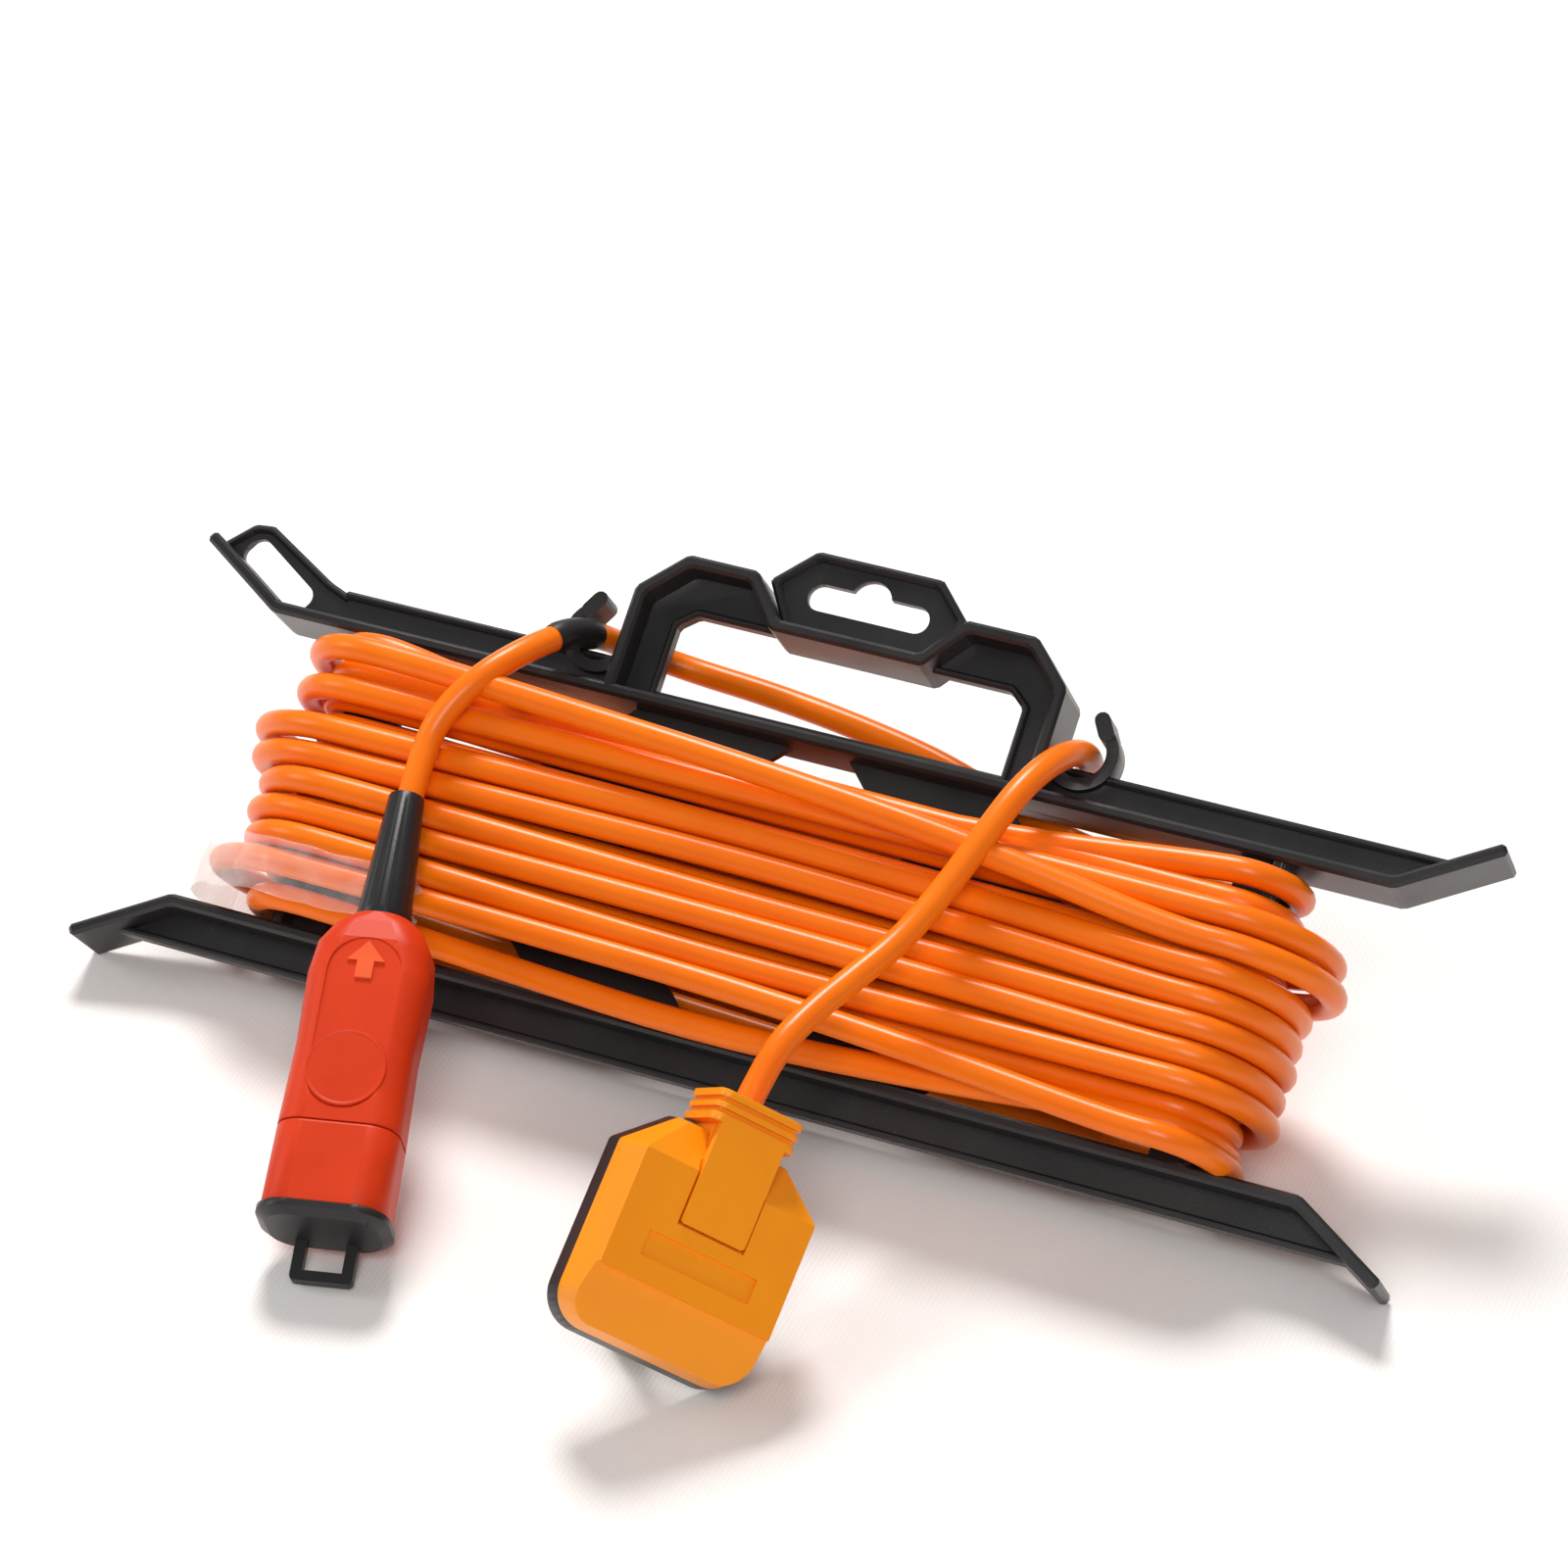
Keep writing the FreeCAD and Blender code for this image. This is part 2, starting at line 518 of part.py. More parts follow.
LINE = (6.35, 4.0)
ROOT = (5.0, 2.7)
FUSE_Y = 9.6
FUSE_Z = -9.3
FUSE_R = 3.15
plug = {}
plug["plug_base"] = plug_base()
plug["plug_cover"] = plug_cover()
plug["plug_cable_sleeve"] = plug_sleeve()
plug["pin_earth"] = pin_with_head(EARTH[0], EARTH[1], (4.0, 8.0), EARTH_LENGTH, (7.0, 9.4))
plug["pin_neutral"] = pin_with_head(LINE_X, LINE_Y, LINE, LINE_LENGTH, (7.0, 6.4), ROOT)
plug["pin_live"] = pin_with_head(-LINE_X, LINE_Y, LINE, LINE_LENGTH, (7.0, 6.4), ROOT)
plug["pin_sleeves"] = Part.makeCompound([sleeve_ring(x, LINE_Y, LINE, ROOT) for x in (-LINE_X, LINE_X)])
screw = slotted_screw(2.4, 1.5, 1.2, 3.4)
plug["terminal_screws"] = Part.makeCompound([at(screw, x, y, PLUG_PARTING + 4.6) for x, y in (EARTH, (LINE_X, LINE_Y), (-LINE_X, LINE_Y))])
plug["fuse_body"] = rod(FUSE_R - 0.25, (-12.7, FUSE_Y, FUSE_Z), (12.7, FUSE_Y, FUSE_Z))
caps = []
for hand in (-1, 1):
    cap = rod(FUSE_R, (6.5 * hand, FUSE_Y, FUSE_Z), (13.0 * hand, FUSE_Y, FUSE_Z))
    caps.append(cap.cut(rod(FUSE_R - 0.25, (6.4 * hand, FUSE_Y, FUSE_Z), (12.7 * hand, FUSE_Y, FUSE_Z))))
plug["fuse_caps"] = Part.makeCompound(caps)
clips = []
for x in (-9.8, 9.8):
    clip = box((x - 2.2, x + 2.2), (FUSE_Y - 3.7, FUSE_Y + 3.7), (PLUG_PARTING, FUSE_Z + 1.6))
    clip = clip.cut([rod(FUSE_R, (x - 4, FUSE_Y, FUSE_Z), (x + 4, FUSE_Y, FUSE_Z)), box((x - 4, x + 4), (FUSE_Y - FUSE_R, FUSE_Y + FUSE_R), (FUSE_Z, 0))])
    clips.append(clip)
plug["fuse_clips"] = Part.makeCompound(clips)
grip = box((-10.0, 10.0), (26.9, 29.9), (CORD_Z + 4.0, CORD_Z + 6.0))
for x in (-7.2, 7.2):
    grip = grip.cut([rod(1.3, (x, 28.4, -20), (x, 28.4, 0)), rod(2.1, (x, 28.4, CORD_Z + 5.0), (x, 28.4, 0))])
plug["plug_cord_grip"] = grip
screw = slotted_screw(1.9, 0.9, 1.0, 4.6)
plug["plug_grip_screws"] = Part.makeCompound([at(screw, x, 28.4, CORD_Z + 5.0) for x in (-7.2, 7.2)])
plug["plug_cover_screw"] = at(slotted_screw(3.6, 2.2, 1.65, 12.0), 0, 17.4, -17.3, (0, 0, -1))

# Socket at the other end, in its own axes: x across, y toward the cord with 0 at the mouth, z out of its face
NOSE = 20.0
BODY_TOP = 74.0
MOUTH = (10.4, 6.4)
MOUTH_DEPTH = 8.0
CAP_PLAY = 0.3
CAP_PLATE = 3.2
LOOP_OUT = 9.5
LOOP_WIDTH = 14.5
LOOP_Z = (-8.0, -5.2)


def section(half_x, half_z, radius, y):
    corners = [(-half_x, -half_z, radius), (half_x, -half_z, radius), (half_x, half_z, radius), (-half_x, half_z, radius)]
    wire = outline(corners, 0)
    return placed(wire, FreeCAD.Placement(V(0, y, 0), FreeCAD.Rotation(V(1, 0, 0), 90)))


def tower(sections):
    return Part.makeLoft([section(*s) for s in sections], True, True)


def slab(half_x, half_z, radius, low, high):
    return tower([(half_x, half_z, radius, low), (half_x, half_z, radius, high)])


def connector_body():
    form = tower([(14.3, 10.4, 7.0, NOSE), (13.7, 10.1, 7.0, 40.0), (14.2, 10.3, 7.0, 58.0),
                  (13.3, 9.8, 7.0, 66.0), (10.6, 8.6, 6.8, 71.0), (7.4, 7.2, 6.6, BODY_TOP)])
    body = form.cut(slab(11.0, 7.0, 3.0, NOSE - 1, 60.0))
    body = body.cut(rod(4.6, (0, 50, 0), (0, BODY_TOP + 1, 0)))
    for x in (-7.4, 7.4):
        body = body.fuse(rod(2.0, (x, 52.0, -7.5), (x, 52.0, 4.3)))
        body = body.cut(rod(1.05, (x, 52.0, -4.0), (x, 52.0, 9.0)))
    panel = rounded_box((-8.6, 8.6), (23.0, 66.0), (9.6, 12.0), 8.2)
    disc = rod(9.0, (0, 33.0, 9.0), (0, 33.0, 9.95))
    arrow = prism([(-1.7, 56.0), (1.7, 56.0), (1.7, 60.5), (3.8, 60.5), (0.0, 64.5), (-3.8, 60.5), (-1.7, 60.5)], 9.0, 10.0)
    body = body.cut(panel).fuse([disc.common(form), arrow.common(form)]).removeSplitter()
    hole = rod(1.5, (0, 26.0, -12.0), (0, 26.0, -6.0)).fuse(rod(2.7, (0, 26.0, -12.0), (0, 26.0, -8.6)))
    return body.cut(hole)


def connector_nose():
    nose = tower([(14.6, 10.6, 7.2, 0.0), (14.3, 10.4, 7.0, NOSE - 0.7), (13.8, 9.9, 6.6, NOSE)])
    return nose.cut(slab(MOUTH[0], MOUTH[1], 3.0, -1.0, NOSE + 1))


def connector_insert():
    insert = slab(MOUTH[0] - FIT, MOUTH[1] - FIT, 2.9, MOUTH_DEPTH, 32.0)
    for x in (-5.8, 5.8):
        insert = insert.cut([rod(2.5 + FIT, (x, 0, 0), (x, 40, 0)), rod(1.7, (x, 27.0, 0), (x, 27.0, 9))])
    return insert.cut(rod(1.25, (0, 26.0, -9.0), (0, 26.0, -2.5)))


def connector_boot():
    cone = Part.makeCone(6.5, 4.2, SOCKET_LENGTH - BODY_TOP, V(0, BODY_TOP, 0), V(0, 1, 0))
    root = rod(4.5, (0, 45.0, 0), (0, BODY_TOP + 1, 0))
    flange = slab(9.0, 6.4, 2.5, 57.0, 59.8)
    boot = cone.fuse([root, flange]).removeSplitter()
    return boot.cut(rod(CORD_REACH + FIT, (0, SOCKET_LENGTH + 1, 0), (0, SOCKET_LENGTH - POCKET, 0)))


def end_cap():
    top = -CAP_PLAY
    low = top - CAP_PLATE
    plate = tower([(13.0, 9.4, 6.6, low), (15.4, 11.4, 8.0, low + 1.6), (15.4, 11.4, 8.0, top)])
    spigot = slab(MOUTH[0] - 0.4, MOUTH[1] - 0.4, 2.6, top - 0.5, MOUTH_DEPTH - 2.0)
    loop = box((-LOOP_WIDTH / 2, LOOP_WIDTH / 2), (low - LOOP_OUT, low + 1), LOOP_Z)
    corners = [e for e in loop.Edges if abs(e.Vertexes[0].Z - e.Vertexes[1].Z) > 1 and e.Vertexes[0].Y < low - 1]
    loop = loop.makeFillet(1.2, corners)
    window = box((-4.6, 4.6), (low - LOOP_OUT + 2.5, low), (-20, 0))
    return plate.fuse([spigot, loop]).removeSplitter().cut(window.cut(plate))


socket = {}
socket["connector_body"] = connector_body()
socket["connector_nose"] = connector_nose()
socket["connector_insert"] = connector_insert()
socket["connector_boot"] = connector_boot()
socket["contact_tubes"] = Part.makeCompound([rod(2.5, (x, MOUTH_DEPTH + 0.6, 0), (x, 31.0, 0)).cut([rod(1.6, (x, 0, 0), (x, 24.0, 0)), rod(1.3, (x, 27.0, 0), (x, 27.0, 5))]) for x in (-5.8, 5.8)])
screw = slotted_screw(1.5, 1.4, 1.2, 2.2)
socket["contact_screws"] = Part.makeCompound([at(screw, x, 27.0, 2.6) for x in (-5.8, 5.8)])
clamp = box((-9.8, 9.8), (50.0, 54.0), (4.6, 6.0))
for x in (-7.4, 7.4):
    clamp = clamp.cut([rod(1.25, (x, 52.0, 0), (x, 52.0, 9)), rod(2.0, (x, 52.0, 5.2), (x, 52.0, 9))])
socket["connector_cable_clamp"] = clamp
screw = slotted_screw(1.8, 0.8, 1.0, 6.0)
socket["clamp_screws"] = Part.makeCompound([at(screw, x, 52.0, 5.2) for x in (-7.4, 7.4)])
socket["body_screw"] = at(slotted_screw(2.5, 1.5, 1.2, 5.4), 0, 26.0, -8.6, (0, 0, -1))
socket["end_cap"] = end_cap()

for name, shape in plug.items():
    nodes[name] = placed(shape, plug_place)
for name, shape in socket.items():
    nodes[name] = placed(shape, socket_place)

# Free lengths of cord: from the winding's first run to the socket, and from its last run to the plug
first_dir = unit(first_run.valueAt(first_run.LastParameter) - first_run.valueAt(first_run.FirstParameter))
tail_start = V(INNER_START_U, INNER_START_V, -INNER_N)
local_boot = level_to_local(BOOT_TOP)
local_up = level_to_local(socket_up)
SOCKET_VIA = [(43.5, 39.6, -17.0), (24.0, 46.6, -18.8), (-2.0, 51.2, -20.2), (-25.0, 53.9, -21.2), (-42.0, 55.0, -21.8),
              (-52.6, 55.3, -18.8), (-59.3, 54.2, -11.2), (-61.6, 52.6, -0.5), (-66.2, 50.2, 9.2), (-72.3, 46.0, 17.6),
              (-78.2, 38.8, 26.0), (-82.6, 29.5, 31.2), (-85.4, 19.5, 31.2)]
socket_points = [tail_start, tail_start - first_dir * 20.0] + [V(*p) for p in SOCKET_VIA]
socket_points += [local_boot + local_up * 14.0, local_boot - local_up * POCKET]
local_collar = level_to_local(FreeCAD.Placement(plug_place).multVec(V(0, COLLAR_TOP, CORD_Z)) - SET)
local_plug_up = level_to_local(plug_cordward)
PLUG_VIA = [(18.0, OUTER_END_V, -OUTER_BACK_N), (34.0, 36.2, -27.6), (47.0, 42.6, -26.6), (57.0, 49.0, -19.5), (62.0, 52.4, -7.5), (62.4, 51.6, 6.0), (60.4, 45.4, 18.0),
            (57.2, 35.0, 26.5), (54.0, 21.8, 31.0), (49.5, 6.0, 33.5), (44.5, -9.5, 38.0), (40.5, -22.5, 45.5), (36.2, -33.5, 53.0)]
plug_points = [V(OUTER_END_U, OUTER_END_V, -OUTER_BACK_N)] + [V(*p) for p in PLUG_VIA]
plug_points += [local_collar + local_plug_up * 12.0, local_collar - local_plug_up * POCKET]
socket_edges = route("socket tail", socket_points)
plug_edges = route("plug tail", plug_points)
nodes["cord_socket_tail"] = placed(swept("socket tail", socket_edges, CORD_R), lean)
nodes["cord_plug_tail"] = placed(swept("plug tail", plug_edges, CORD_R), lean)
sleeve_edges = socket_edges[19:23]
SLEEVE_CLEAR_N = CLIP_DEPTH + 2.4
SLEEVE_R = 4.1
SLEEVE_BORE = CORD_REACH + FIT
sleeve = swept("marker sleeve", sleeve_edges, SLEEVE_R, bore=SLEEVE_BORE)
sleeve = sleeve.cut(box((-CLIP[0] - 30, -CLIP[0] + 10), (CLIP[1] - 20, CLIP[1] + 20), (-20, SLEEVE_CLEAR_N)))
nodes["cord_marker_sleeve"] = placed(sleeve, lean)

# Clear film strip held round the winding's lower left bend
FILM_MIDDLE_N = (OUTER_N - OUTER_BACK_N) / 2
FILM_R = OUTER_N - FILM_MIDDLE_N + CORD_REACH + 0.4
FILM_THICK = 0.5
FILM_V = (-29.5, -11.5)


FILM_WRAP_DEG = 120.0
FILM_FRONT_U = -74.0


def film_line(radius):
    # the front end, then start, middle and end of the wrap round the bend
    turns = [math.radians(FILM_WRAP_DEG * share) for share in (0.0, 0.5, 1.0)]
    wrap = [V(-BEND_U - radius * math.sin(a), FILM_V[0], FILM_MIDDLE_N + radius * math.cos(a)) for a in turns]
    return [V(FILM_FRONT_U, FILM_V[0], FILM_MIDDLE_N + radius)] + wrap


inside = film_line(FILM_R)
outside = film_line(FILM_R + FILM_THICK)
ring = [Part.makeLine(inside[0], inside[1]), Part.Arc(*inside[1:]).toShape(), Part.makeLine(inside[3], outside[3])]
ring += [Part.Arc(*outside[:0:-1]).toShape(), Part.makeLine(outside[1], outside[0]), Part.makeLine(outside[0], inside[0])]
film = Part.Face(Part.Wire(ring)).extrude(V(0, FILM_V[1] - FILM_V[0], 0))
nodes["clear_film_band"] = placed(film, lean)

# Write every piece and report what may need mending
for name, shape in nodes.items():
    bound = shape.optimalBoundingBox(False, False)
    print(f"{name:24s} solids {len(shape.Solids)} valid {shape.isValid()} volume {shape.Volume:10.1f} lowest {bound.ZMin:7.2f}  x {bound.XMin:7.1f} {bound.XMax:7.1f} y {bound.YMin:7.1f} {bound.YMax:7.1f} z {bound.ZMin:6.1f} {bound.ZMax:6.1f}")
    shape.exportStep(f"parts/{name}.step")
print("socket points", [[round(c, 2) for c in lean.multVec(p)] for p in socket_points])
print("plug points", [[round(c, 2) for c in lean.multVec(p)] for p in plug_points])
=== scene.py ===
# %% [markdown]
# # An extension lead on its cord holder
# The real object is ten metres of orange lead wound on a black moulded holder, with a plug and an
# in-line socket hanging in front. The hard pieces come from the CAD model and only get better
# edges and finishes. The lead is drawn again here as one smooth curve, because looseness is what
# makes a wound lead look real.

import math

import bmesh
import bpy
from mathutils import Matrix, Vector, noise


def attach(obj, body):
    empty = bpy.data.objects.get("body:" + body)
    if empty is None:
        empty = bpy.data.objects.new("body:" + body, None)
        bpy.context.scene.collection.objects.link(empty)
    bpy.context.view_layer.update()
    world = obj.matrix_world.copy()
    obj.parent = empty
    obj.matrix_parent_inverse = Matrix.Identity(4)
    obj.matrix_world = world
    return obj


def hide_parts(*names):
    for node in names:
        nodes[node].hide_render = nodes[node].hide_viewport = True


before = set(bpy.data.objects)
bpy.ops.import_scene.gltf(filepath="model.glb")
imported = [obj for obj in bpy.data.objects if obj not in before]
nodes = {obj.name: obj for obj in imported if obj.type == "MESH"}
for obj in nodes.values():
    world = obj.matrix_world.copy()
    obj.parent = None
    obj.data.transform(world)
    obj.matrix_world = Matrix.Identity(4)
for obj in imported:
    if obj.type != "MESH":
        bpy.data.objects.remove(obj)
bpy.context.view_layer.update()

# %% [markdown]
# ## Camera
# The photograph was taken with a long lens from the right and above, so that the leaning holder
# is seen almost square on. A long lens at over a metre keeps the rails nearly parallel.


# %% Camera at the photograph's viewing angle
def add_object(name, data):
    """Put new data in the scene as an object."""
    thing = bpy.data.objects.new(name, data)
    bpy.context.scene.collection.objects.link(thing)
    return thing


CAMERA_AT = Vector((0.39212, -0.92507, 0.79611))
CAMERA_LOOKS_AT = Vector((-0.00406, 0.00565, 0.06174))
camera_data = bpy.data.cameras.new("camera")
camera_data.sensor_width = 36
camera_data.lens = 122.34
camera_data.clip_start = 0.05
camera_data.clip_end = 50
camera = add_object("camera", camera_data)
camera.location = CAMERA_AT
camera.rotation_euler = (CAMERA_LOOKS_AT - CAMERA_AT).to_track_quat("-Z", "Y").to_euler()
bpy.context.scene.camera = camera
print("camera stands", round((CAMERA_LOOKS_AT - CAMERA_AT).length, 3), "m away")

# %% [markdown]
# ## The lead's route
# The lead leaves the socket, climbs over the rail beside the left clip, and runs behind the
# handle to the right end. There it goes round the posts in two layers, and comes off at the top
# behind the handle, through the right clip and down to the plug. It is one curve. The turns are
# written in the holder's own plane, in millimetres: u along it, v across it and n out of its face.

# %% From the holder's leaning plane to the scene
MM = 0.001
LEAN = math.radians(38.4)
HOLDER_SET = Vector((0.108, -10.499, 39.721))


def on_holder(u, v, n):
    """A point of the holder's own plane, in millimetres, as a point of the scene in metres."""
    y = v * math.cos(LEAN) - n * math.sin(LEAN)
    z = v * math.sin(LEAN) + n * math.cos(LEAN)
    return (Vector((u, y, z)) + HOLDER_SET) * MM


print("the holder's middle stands", round(on_holder(0, 0, 0).z, 4), "m above the floor")

# %% [markdown]
# The two free lengths need few points, one to three centimetres apart. The curve passes just
# inside them, so the points of each arc stand a little outside the lead.

# %% Free length from the socket to the winding, in metres
SOCKET_TAIL = [
    (-0.0806, -0.04305, 0.05752), (-0.08446, -0.02218, 0.06752), (-0.08219, -0.0146, 0.07438),
    (-0.07729, -0.00676, 0.0798), (-0.07199, 0.00376, 0.0815), (-0.06809, 0.01462, 0.08009),
    (-0.06539, 0.02293, 0.07781), (-0.06149, 0.03103, 0.072), (-0.05919, 0.03893, 0.06461),
    (-0.05249, 0.04452, 0.05934), (-0.04189, 0.04615, 0.0568), (-0.02489, 0.04491, 0.05659),
    (-0.00189, 0.04217, 0.05569), (0.02411, 0.0377, 0.05393), (0.04361, 0.0311, 0.051),
    (0.06512, 0.0252, 0.04888), (0.08511, 0.02468, 0.04846),
]
print("from the socket:", len(SOCKET_TAIL), "points")

# %% Free length from the winding to the plug, in metres
PLUG_TAIL = [
    (0.00011, 0.03129, 0.03916), (0.01811, 0.03129, 0.03916), (0.03411, 0.03501, 0.04058),
    (0.04711, 0.03941, 0.04534), (0.05711, 0.04001, 0.05487), (0.06211, 0.03523, 0.06639),
    (0.06251, 0.02621, 0.07647), (0.06051, 0.0139, 0.08203), (0.05731, 0.00047, 0.08223),
    (0.05411, -0.01267, 0.07756), (0.04961, -0.02661, 0.0697), (0.04461, -0.04155, 0.0636),
    (0.03881, -0.05639, 0.0614), (0.03451, -0.06967, 0.06045), (0.0305, -0.08535, 0.05766),
    (0.02852, -0.10301, 0.04463),
]
print("to the plug:", len(PLUG_TAIL), "points")

# %% [markdown]
# Each turn of the winding goes along the front, round the left post, along the back and round
# the right post. A NURBS curve of order 3 touches the middle of each stretch between two of its
# points, so four corners of an octagon make a round bend, and five points make a stretch that
# can rise, sink or swell a little on its way.

# %% Corners of a bend and points of a stretch
BEND_U = 109.0  # where the middle of each bend is, along the holder
HALF_WAY_U = 55.0
OCTAGON = 0.414  # half a side of an octagon that reaches 1 from its middle
SHARES = (0, 0.25, 0.5, 0.75, 1)  # where a stretch has its points


def between(a, b, share):
    return a + (b - a) * share


def bend(hand, start, end, bulge):
    """Four corners round a post: start and end are (v, n) pairs, and hand is 1 at the right."""
    (v_start, n_start), (v_end, n_end) = start, end
    middle, half = (n_start + n_end) / 2, (n_start - n_end) / 2
    corners = [(OCTAGON, 1.0, 0.2), (1.0, OCTAGON, 0.4), (1.0, -OCTAGON, 0.6), (OCTAGON, -1.0, 0.8)]
    return [
        on_holder(hand * (BEND_U + out * (abs(half) + bulge)), between(v_start, v_end, way), middle + up * half)
        for out, up, way in corners
    ]


def stretch(heights, depths, reach, hand):
    """Five points between two bends that reach so far out; hand is 1 where it runs to the right."""
    end_u = BEND_U - OCTAGON * reach
    places = (-end_u, -HALF_WAY_U, 0.0, HALF_WAY_U, end_u)
    return [on_holder(hand * u, v, n) for u, v, n in zip(places, heights, depths)]


def slope(start, end):
    return [between(start, end, share) for share in SHARES]


print("a bend has 4 points and a stretch has", len(SHARES))

# %% [markdown]
# The inner layer was wound first, tight against the posts, from the top down. Its turns lie side
# by side at an even pitch. Only the top one sags in the middle of its front stretch.

# %% The inner layer, from the top down
TURNS = 9
INNER_PITCH = 7.05
INNER_N = 15.0
INNER_BULGE = -3.4  # below zero, a bend is flatter than round
INNER_RIGHT = [30.6 - INNER_PITCH * k for k in range(TURNS)]
INNER_LEFT = [33.0] + [33.1 - INNER_PITCH * k for k in range(1, TURNS)]
INNER_LAST_V = -33.0
TOP_SAG = (0.0, 6.6, 9.0, 8.0, 0.0)
START_U, START_V = 102.8, 32.6  # where the free length comes to the first bend

at_right = (START_V, -INNER_N)
route = [Vector(p) for p in SOCKET_TAIL]
route.append(on_holder(START_U, *at_right))
for k in range(TURNS):
    v_right, v_left = INNER_RIGHT[k], INNER_LEFT[k]
    v_next = INNER_RIGHT[k + 1] if k < TURNS - 1 else INNER_LAST_V
    front = slope(v_right, v_left)
    if k == 0:
        front = [v - sag for v, sag in zip(front, TOP_SAG)]
    route += bend(1, at_right, (v_right, INNER_N), INNER_BULGE)
    route += stretch(front, [INNER_N] * 5, INNER_N, -1)
    route += bend(-1, (v_left, INNER_N), (v_left, -INNER_N), INNER_BULGE)
    route += stretch(slope(v_left, v_next), [-INNER_N] * 5, INNER_N, 1)
    at_right = (v_next, -INNER_N)
print("inner layer ends after", len(route), "points")

# %% [markdown]
# The outer layer is what shows, so each of its turns has numbers of its own. The real turns slope
# down to the right and end unevenly. The two lowest cross near their right end, and the last
# strand runs slantwise over its neighbour at the top, so it stands further out in its middle.

# %% The outer turns, from the bottom up: heights and depths at the right, middle and left
OUTER_TURNS = [  # heights, depths, and how far the right and the left bend stand out
    ((-29.8, -37.2, -32.4), (16.0, 15.0, 17.5), (-2.6, -5.6)),
    ((-34.4, -27.0, -25.2), (22.8, 23.0, 22.0), (-6.2, 2.4)),
    ((-21.2, -21.4, -18.4), (22.6, 22.0, 23.2), (-6.0, -6.0)),
    ((-14.7, -12.4, -11.6), (22.0, 23.4, 22.0), (-6.4, -3.2)),
    ((-8.2, -7.0, -4.8), (22.4, 22.0, 23.4), (-5.8, -5.0)),
    ((-1.7, 2.4, 2.0), (22.0, 23.0, 22.0), (-6.2, 0.8)),
    ((4.8, 9.0, 8.9), (22.4, 22.0, 22.6), (-5.9, 2.0)),
    ((18.6, 19.0, 19.6), (22.0, 22.0, 22.0), (-1.6, -5.4)),
    ((11.6, 22.2, 29.2), (23.0, 30.2, 24.0), (0.2, -7.0)),
]
OUTER_REACH = 24.2
BACK_N = -26.4
BACK_DEPTHS = [[BACK_N] * len(SHARES) for _ in OUTER_TURNS]
BACK_DEPTHS[0] = [-20.3, -19.9, -19.5, -19.1, -18.7]  # the lowest back stretch clears the floor
BACK_DEPTHS[7] = [BACK_N, -33.2, -33.2, -33.2, BACK_N]  # this one crosses over the one before it
TO_THE_HANDLE = [(-99.0, 29.6, BACK_N), (-55.0, 31.4, BACK_N)]
print("outer turns:", len(OUTER_TURNS))


# %% The outer layer's points, and the whole route
def through_middle(right, middle, left, share_in, share_out):
    """Five values of a front stretch: share_in leads to the middle one, share_out on to the left."""
    return [right, between(right, middle, share_in), middle, between(middle, left, share_out), left]


HEIGHT_SHARES = (0.55, 0.55)
DEPTH_SHARES = (0.85, 0.35)

for k, (heights, depths, (right_bulge, left_bulge)) in enumerate(OUTER_TURNS):
    v_right, v_left = heights[0], heights[2]
    n_right, n_left = depths[0], depths[2]
    front_v = through_middle(*heights, *HEIGHT_SHARES)
    front_n = through_middle(*depths, *DEPTH_SHARES)
    back = BACK_DEPTHS[k]
    route += bend(1, at_right, (v_right, n_right), right_bulge)
    route += stretch(front_v, front_n, OUTER_REACH, -1)
    route += bend(-1, (v_left, n_left), (v_left, back[0]), left_bulge)
    if k < TURNS - 1:
        v_next = OUTER_TURNS[k + 1][0][0]
        route += stretch(slope(v_left, v_next), back, OUTER_REACH, 1)
        at_right = (v_next, back[-1])
route += [on_holder(*place) for place in TO_THE_HANDLE]
route += [Vector(p) for p in PLUG_TAIL]
print("the whole route has", len(route), "points")

# %% [markdown]
# ## The lead itself
# A curve with a round bevel is a cord at once: its thickness is one number, and the bevel makes
# a tube of it. Order and end points are set once the points are there, or Blender keeps it straight.

# %% One curve for the whole lead
CORD_THICK = 0.0064
cord_data = bpy.data.curves.new("lead", "CURVE")
cord_data.dimensions = "3D"
spline = cord_data.splines.new("NURBS")
spline.points.add(len(route) - 1)
for point, place in zip(spline.points, route):
    point.co = (*place, 1.0)
spline.order_u = 3
spline.use_endpoint_u = True
spline.resolution_u = 5
cord_data.bevel_depth = CORD_THICK / 2
cord_data.bevel_resolution = 5
cord_data.use_fill_caps = True
lead = add_object("lead", cord_data)
print("its points span", round(sum((b - a).length for a, b in zip(route, route[1:])), 2), "m")

# %% [markdown]
# A short piece of black shrink sleeve marks the lead beside the left clip. It has to follow the
# lead exactly, so the lead's own line is read back: a copy of the curve with no bevel turns into
# a plain row of points.

# %% The lead's line, read back as points
line_data = cord_data.copy()
line_data.bevel_depth = 0.0
line_data.use_fill_caps = False
line_object = add_object("lead_line", line_data)
bpy.context.view_layer.update()
line_mesh = bpy.data.meshes.new_from_object(line_object)
lead_line = [vert.co.copy() for vert in line_mesh.vertices]
bpy.data.objects.remove(line_object)
bpy.data.meshes.remove(line_mesh)
bpy.data.curves.remove(line_data)
print("the line has", len(lead_line), "points")

# %% [markdown]
# The sleeve is one circle that is extruded from point to point. Each new ring is moved and turned
# by the step between two points of the line. The first and last are narrower, which makes lips.

# %% Where the sleeve lies on the line
SLEEVE_ENDS_NEAR = Vector((-0.0629, 0.0285, 0.0739))
SLEEVE_LONG = 0.0142
SLEEVE_R = 0.00375
SLEEVE_LIP_R = 0.00335
TAIL_POINTS = 300  # the sleeve is within these first points of the line

